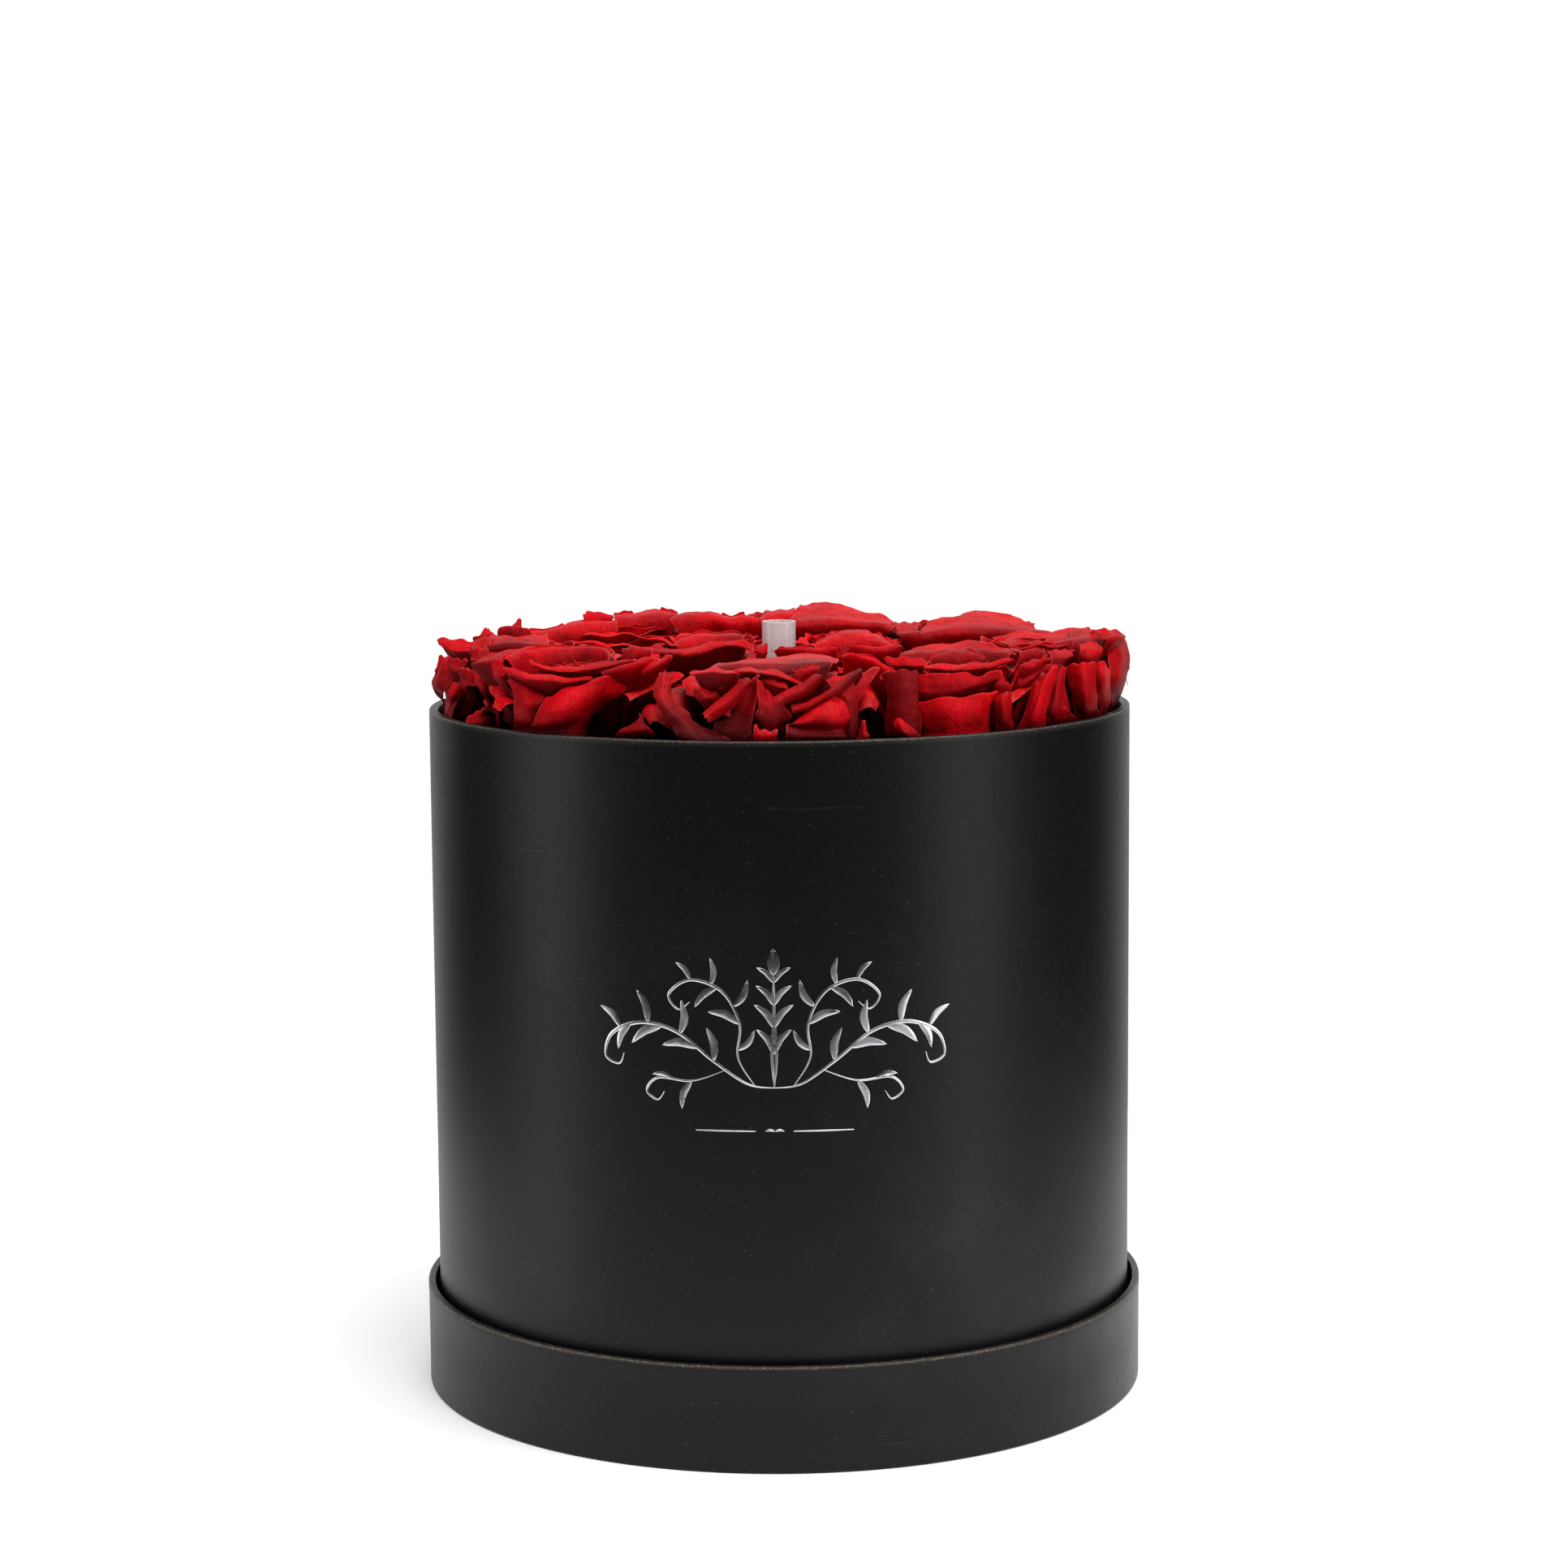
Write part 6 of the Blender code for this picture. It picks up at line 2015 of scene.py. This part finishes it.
            ((-24.6, -10.5, 39.5), (-18.5, -18.5, 39.2), (-14.8, -24.5, 38.8)),
        )),
        Sheet(0.55, 0.2, False, (
            ((-14, 2.5, 45), (-13.4, 2.5, 45.1), (-12.6, 2.5, 44.7)),
            ((-15.6, 1.5, 42.5), (-13.5, -0.5, 43.6), (-11.6, 1.5, 43.9)),
            ((-17.2, -0.5, 41.5), (-13.8, -2.5, 41.9), (-10.6, -2.5, 43)),
        )),
        Sheet(0.55, 0.2, False, (
            ((-4.8, 7.5, 47.2), (-4.3, 7.5, 47.4), (-3.8, 7.5, 46.9)),
            ((-7, 5.5, 45.4), (-5, 3.5, 45.5), (-3.6, 5.5, 44.6)),
            ((-10.6, 3.5, 43.8), (-5.8, 0.5, 44.1), (-0.9, 3.5, 43.4)),
        )),
        Sheet(0.5, 0.3, True, (
            ((-12, -2.5, 44), (-4.5, -4.5, 43.6), (4.3, 1.5, 43.3)),
            ((-11.9, -14.5, 42.5), (-3.6, -16.5, 42.6), (5, -10.5, 41.5)),
            ((-11.8, -22.5, 40.9), (-4, -24.5, 41.5), (3.9, -20.5, 41)),
        )),
        Sheet(0.65, 0.3, True, (
            ((-14.1, -40.5, 36.9), (-11.4, -43.5, 37.6), (-8.2, -40.5, 36.7)),
            ((-13.3, -42.5, 34.2), (-10.8, -46.5, 34.2), (-8.4, -43.5, 33.9)),
            ((-11.6, -42.5, 31.6), (-9.6, -45.5, 31.2), (-8.4, -43.5, 31.6)),
        )),
        Sheet(0.5, 0.25, True, (
            ((-8.7, -44.5, 37.1), (-6.8, -46.5, 36.8), (-4.3, -44.5, 35.7)),
            ((-8.3, -45.5, 31.4), (-6.7, -48.5, 31.2), (-5.4, -45.5, 30.9)),
            ((-7.5, -45.5, 27), (-6.4, -48.5, 27.3), (-5.3, -45.5, 26.9)),
            ((-7.2, -44.5, 21.1), (-6.1, -47.5, 21.4), (-5.2, -44.5, 21.1)),
        )),
        Sheet(0.55, 0.3, True, (
            ((-15.6, -38.5, 24.1), (-12.3, -40.5, 25.6), (-9.3, -39.5, 26.8)),
            ((-16, -39.5, 23.3), (-11.8, -42.5, 24), (-8.8, -40.5, 24.7)),
            ((-15.6, -39.5, 20.6), (-11.5, -41.5, 20.8), (-8.5, -39.5, 20.5)),
        )),
        Sheet(0.4, 0.8, False, (
            ((-23.4, -18.5, 39.3), (-19.5, -22.5, 39.1), (-16, -26.5, 38.6)),
            ((-22.4, -20.5, 37.2), (-18.9, -24.5, 36.6), (-17.4, -26.5, 35.9)),
            ((-21.9, -21.5, 35), (-20.3, -24.5, 34.4), (-18.6, -25.5, 34)),
        )),
        Sheet(0.4, 0.8, False, (
            ((-16.7, -22.5, 41.8), (-13.2, -26.5, 42.6), (-10.8, -28.5, 41)),
            ((-15.5, -26.5, 39.5), (-12.9, -30.5, 39.4), (-10.1, -32.5, 39.1)),
            ((-14.8, -30.5, 37.1), (-12.2, -34.5, 37), (-9.3, -36.5, 37.6)),
        )),
        Sheet(0.25, 0.6, True, (
            ((-19.3, -30.5, 35.8), (-16.6, -34.5, 36.6), (-13.8, -36.5, 35.9)),
            ((-18.3, -31.5, 33.7), (-16.2, -35.5, 33.6), (-14.3, -36.5, 33.2)),
            ((-17.2, -32.5, 30.6), (-16.2, -35.5, 30), (-15.6, -35.5, 30.5)),
        )),
        Sheet(0.05, 0.3, True, (
            ((-26, -6.5, 36.8), (-21.9, -10.5, 37.2), (-17, -14.5, 36.6)),
            ((-25.8, -7.5, 31.4), (-21.5, -11.5, 31.3), (-16.6, -15.5, 31.2)),
            ((-25.2, -4.5, 25.6), (-21.5, -12.5, 25.5), (-16.6, -16.5, 24.9)),
            ((-25.2, -4.5, 20.1), (-21.6, -12.5, 20.4), (-16.7, -16.5, 20.4)),
        )),
    ),
    "rose_outer_8": (
        Sheet(0.5, 0.5, True, (
            ((-20.7, -21.9, 37.5), (-16.6, -25.9, 36.1), (-10.7, -24.9, 34.3)),
            ((-19.6, -23.9, 34.2), (-16.1, -27.9, 33.7), (-11, -27.9, 32.8)),
            ((-19.4, -24.9, 30), (-16.1, -28.9, 30), (-12.7, -28.9, 30.4)),
            ((-19.8, -15.3, 23.8), (-16.9, -18.5, 23.9), (-14.6, -20.5, 23.9)),
            ((-19.8, -15.1, 20.3), (-17, -18.3, 20.7), (-14.2, -21.1, 21)),
        )),
        Sheet(0.6, 0.15, True, (
            ((-10.5, -28.9, 32.9), (-6.1, -30.9, 35.2), (2.3, -27.9, 37.2), (10.8, -17.9, 39)),
            ((-11.7, -29.9, 30.9), (-5.5, -33.4, 32.5), (2.3, -28.9, 33.7), (10.3, -17.9, 33.8)),
            ((-13.5, -30.4, 27.1), (-6.8, -34.4, 28.8), (-0.3, -29.9, 29.5), (5.6, -19.9, 30.6)),
            ((-15.1, -20.3, 23.9), (-8.7, -25.9, 24.5), (-2, -29.9, 25.7), (1.3, -20.9, 26.9)),
            ((-14.7, -20.5, 20.5), (-8.8, -25.7, 20.6), (-3, -28.9, 20.9), (-0.5, -20.9, 21.7)),
        )),
        Sheet(0.4, 0.25, True, (
            ((-22.1, -19.9, 40.7), (-15.8, -24.9, 39.4), (-6.2, -27.9, 38.6), (2, -25.9, 37.9)),
            ((-22, -21.9, 39.6), (-15.5, -28.4, 38.3), (-6.4, -31.4, 37.6), (1.4, -27.9, 37.7)),
            ((-20.8, -20.9, 38.2), (-14.8, -26.9, 36.8), (-7, -29.9, 36.2), (-0.3, -26.9, 36.7)),
        )),
        Sheet(0.45, 0.2, True, (
            ((-15.4, -17.9, 42), (-8.3, -21.9, 40.8), (0.3, -21.9, 41.3), (12.8, -13.9, 42)),
            ((-14.4, -19.9, 41.1), (-7.2, -25.4, 39.9), (1.3, -25.4, 40.4), (13.3, -15.9, 41.6)),
            ((-11.9, -18.9, 39.9), (-6, -23.9, 38.4), (2.1, -23.9, 38.8), (11.6, -14.9, 40.7)),
        )),
        Sheet(0.6, 0.3, True, (
            ((2, -21.9, 39), (8.7, -17.9, 40.3), (17.4, -7.9, 42.4)),
            ((4.6, -23.9, 38.3), (10.9, -20.9, 39.5), (17.9, -11.9, 40.6)),
        )),
        Sheet(0.7, 0.2, True, (
            ((-22.3, -11.9, 41.7), (-17.6, 2.1, 42.9), (-5.8, 10.1, 42.9), (4.1, 6.1, 42.8), (6.8, -5.9, 41.2)),
            ((-20.8, -13.9, 41), (-16.3, -3.9, 42.1), (-5.4, 2.1, 42.4), (3.2, -1.9, 42.2), (5.2, -7.9, 41.2)),
        )),
        Sheet(0.55, 0.5, True, (
            ((-26.2, -6.9, 40.4), (-24.6, -9.9, 41.1), (-23.2, -11.9, 40.4)),
            ((-26.3, -7.9, 38.4), (-24.1, -11.9, 38.3), (-22.2, -13.9, 38)),
            ((-24.8, -8.9, 35.8), (-23.5, -11.9, 35), (-22.7, -12.9, 35.8)),
        )),
        Sheet(0.6, 0.3, True, (
            ((-27.8, 8.1, 41.7), (-19.1, 10.1, 43), (-12.5, 18.1, 42.5)),
            ((-31, 4.1, 39.9), (-25, 0.1, 41.1), (-16.8, 2.1, 42.2)),
            ((-32.1, 3.1, 38.2), (-27.9, -1.9, 38), (-23.4, -3.9, 40.1)),
        )),
        Sheet(0.0, 0.3, True, (
            ((14.9, -31.9, 27.9), (15.1, -31.9, 28.1), (15.3, -31.9, 27.9)),
            ((11.7, -32.9, 25.9), (15, -34.9, 26.5), (16.4, -32.9, 25.9)),
            ((8.3, -32.9, 23.4), (14.8, -35.9, 23.7), (18.5, -32.9, 22.9)),
        )),
        Sheet(0.4, 0.6, True, (
            ((8.3, 0.1, 43), (11.8, 2.1, 43.7), (15.9, 4.1, 43.5)),
            ((9, -5.9, 41.4), (12.6, -7.9, 42.4), (16.5, -1.9, 41.4)),
        )),
        Sheet(0.5, 0.5, True, (
            ((13.7, -13.9, 38.2), (17.1, -13.9, 40.7), (21.8, -9.9, 42.5)),
            ((13.2, -14.9, 36.8), (17.2, -16.9, 38.9), (22.3, -11.9, 41.2)),
        )),
    ),
}


OUTER = {"reach": 0.0262}
INNER = {"reach": 0.0205, "waist": 0.009, "petals": 20}
ROSES = (
    Rose("rose_outer_1", Red.GLOSSY, 0.0408, **OUTER, seed=11, open_from=0.50, crumple=0.0007),
    Rose("rose_outer_2", Red.FRONT, 0.0408, **OUTER, seed=12, belly=0.019, open_from=0.50),
    Rose(
        "rose_outer_3", Red.FRONT, 0.0423, **OUTER, seed=13,
        belly=0.021, open_from=0.55, open_side=-85.0, open_half=55.0
    ),
    Rose("rose_outer_4", Red.LIGHT, 0.0438, **OUTER, seed=14, belly=0.019),
    Rose("rose_outer_5", Red.LIGHT, 0.0448, **OUTER, seed=15, belly=0.019),
    Rose("rose_outer_6", Red.LIGHT, 0.0438, **OUTER, seed=16, belly=0.019),
    Rose(
        "rose_outer_7", Red.FRONT, 0.0418, **OUTER, seed=17,
        belly=0.019, open_from=0.55, open_side=-95.0, open_half=55.0
    ),
    Rose("rose_outer_8", Red.FRONT, 0.0413, reach=0.0250, seed=18, belly=0.012, open_from=0.50),
    Rose("rose_inner_1", Red.FRONT, 0.0413, **INNER, seed=21, open_from=0.85, open_half=70.0),
    Rose("rose_inner_2", Red.FRONT, 0.0408, **INNER, seed=22, open_from=0.85, open_half=70.0),
    Rose("rose_inner_3", Red.LIGHT, 0.0428, **INNER, seed=23),
    Rose("rose_inner_4", Red.LIGHT, 0.0428, **INNER, seed=24),
)


def main() -> None:
    """Builds the looks of the flower box round its frame."""
    logging.basicConfig(level=logging.INFO, format="%(message)s")
    noise.seed_set(NOISE_SEED)
    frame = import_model()
    finishes = make_finishes()
    Studio().build()
    dress_nodes(finishes, frame["nodes"])
    low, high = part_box("stand_wall")
    WrappedStand(radius=high[0], height=high[2]).build(finishes)
    low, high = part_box("box_wall")
    WrappedBox(radius=high[0], base=low[2], rim=high[2]).build(finishes)
    FoilSprig(radius=high[0], middle=(SPRIG_SIDE, low[2] + SPRIG_SHARE * (high[2] - low[2]))).build(finishes)
    OutletTube().build(finishes)
    for rose in ROSES:
        rose.build(finishes)
        LOG.info("%s opened", rose.node)


if __name__ == "__main__":
    main()
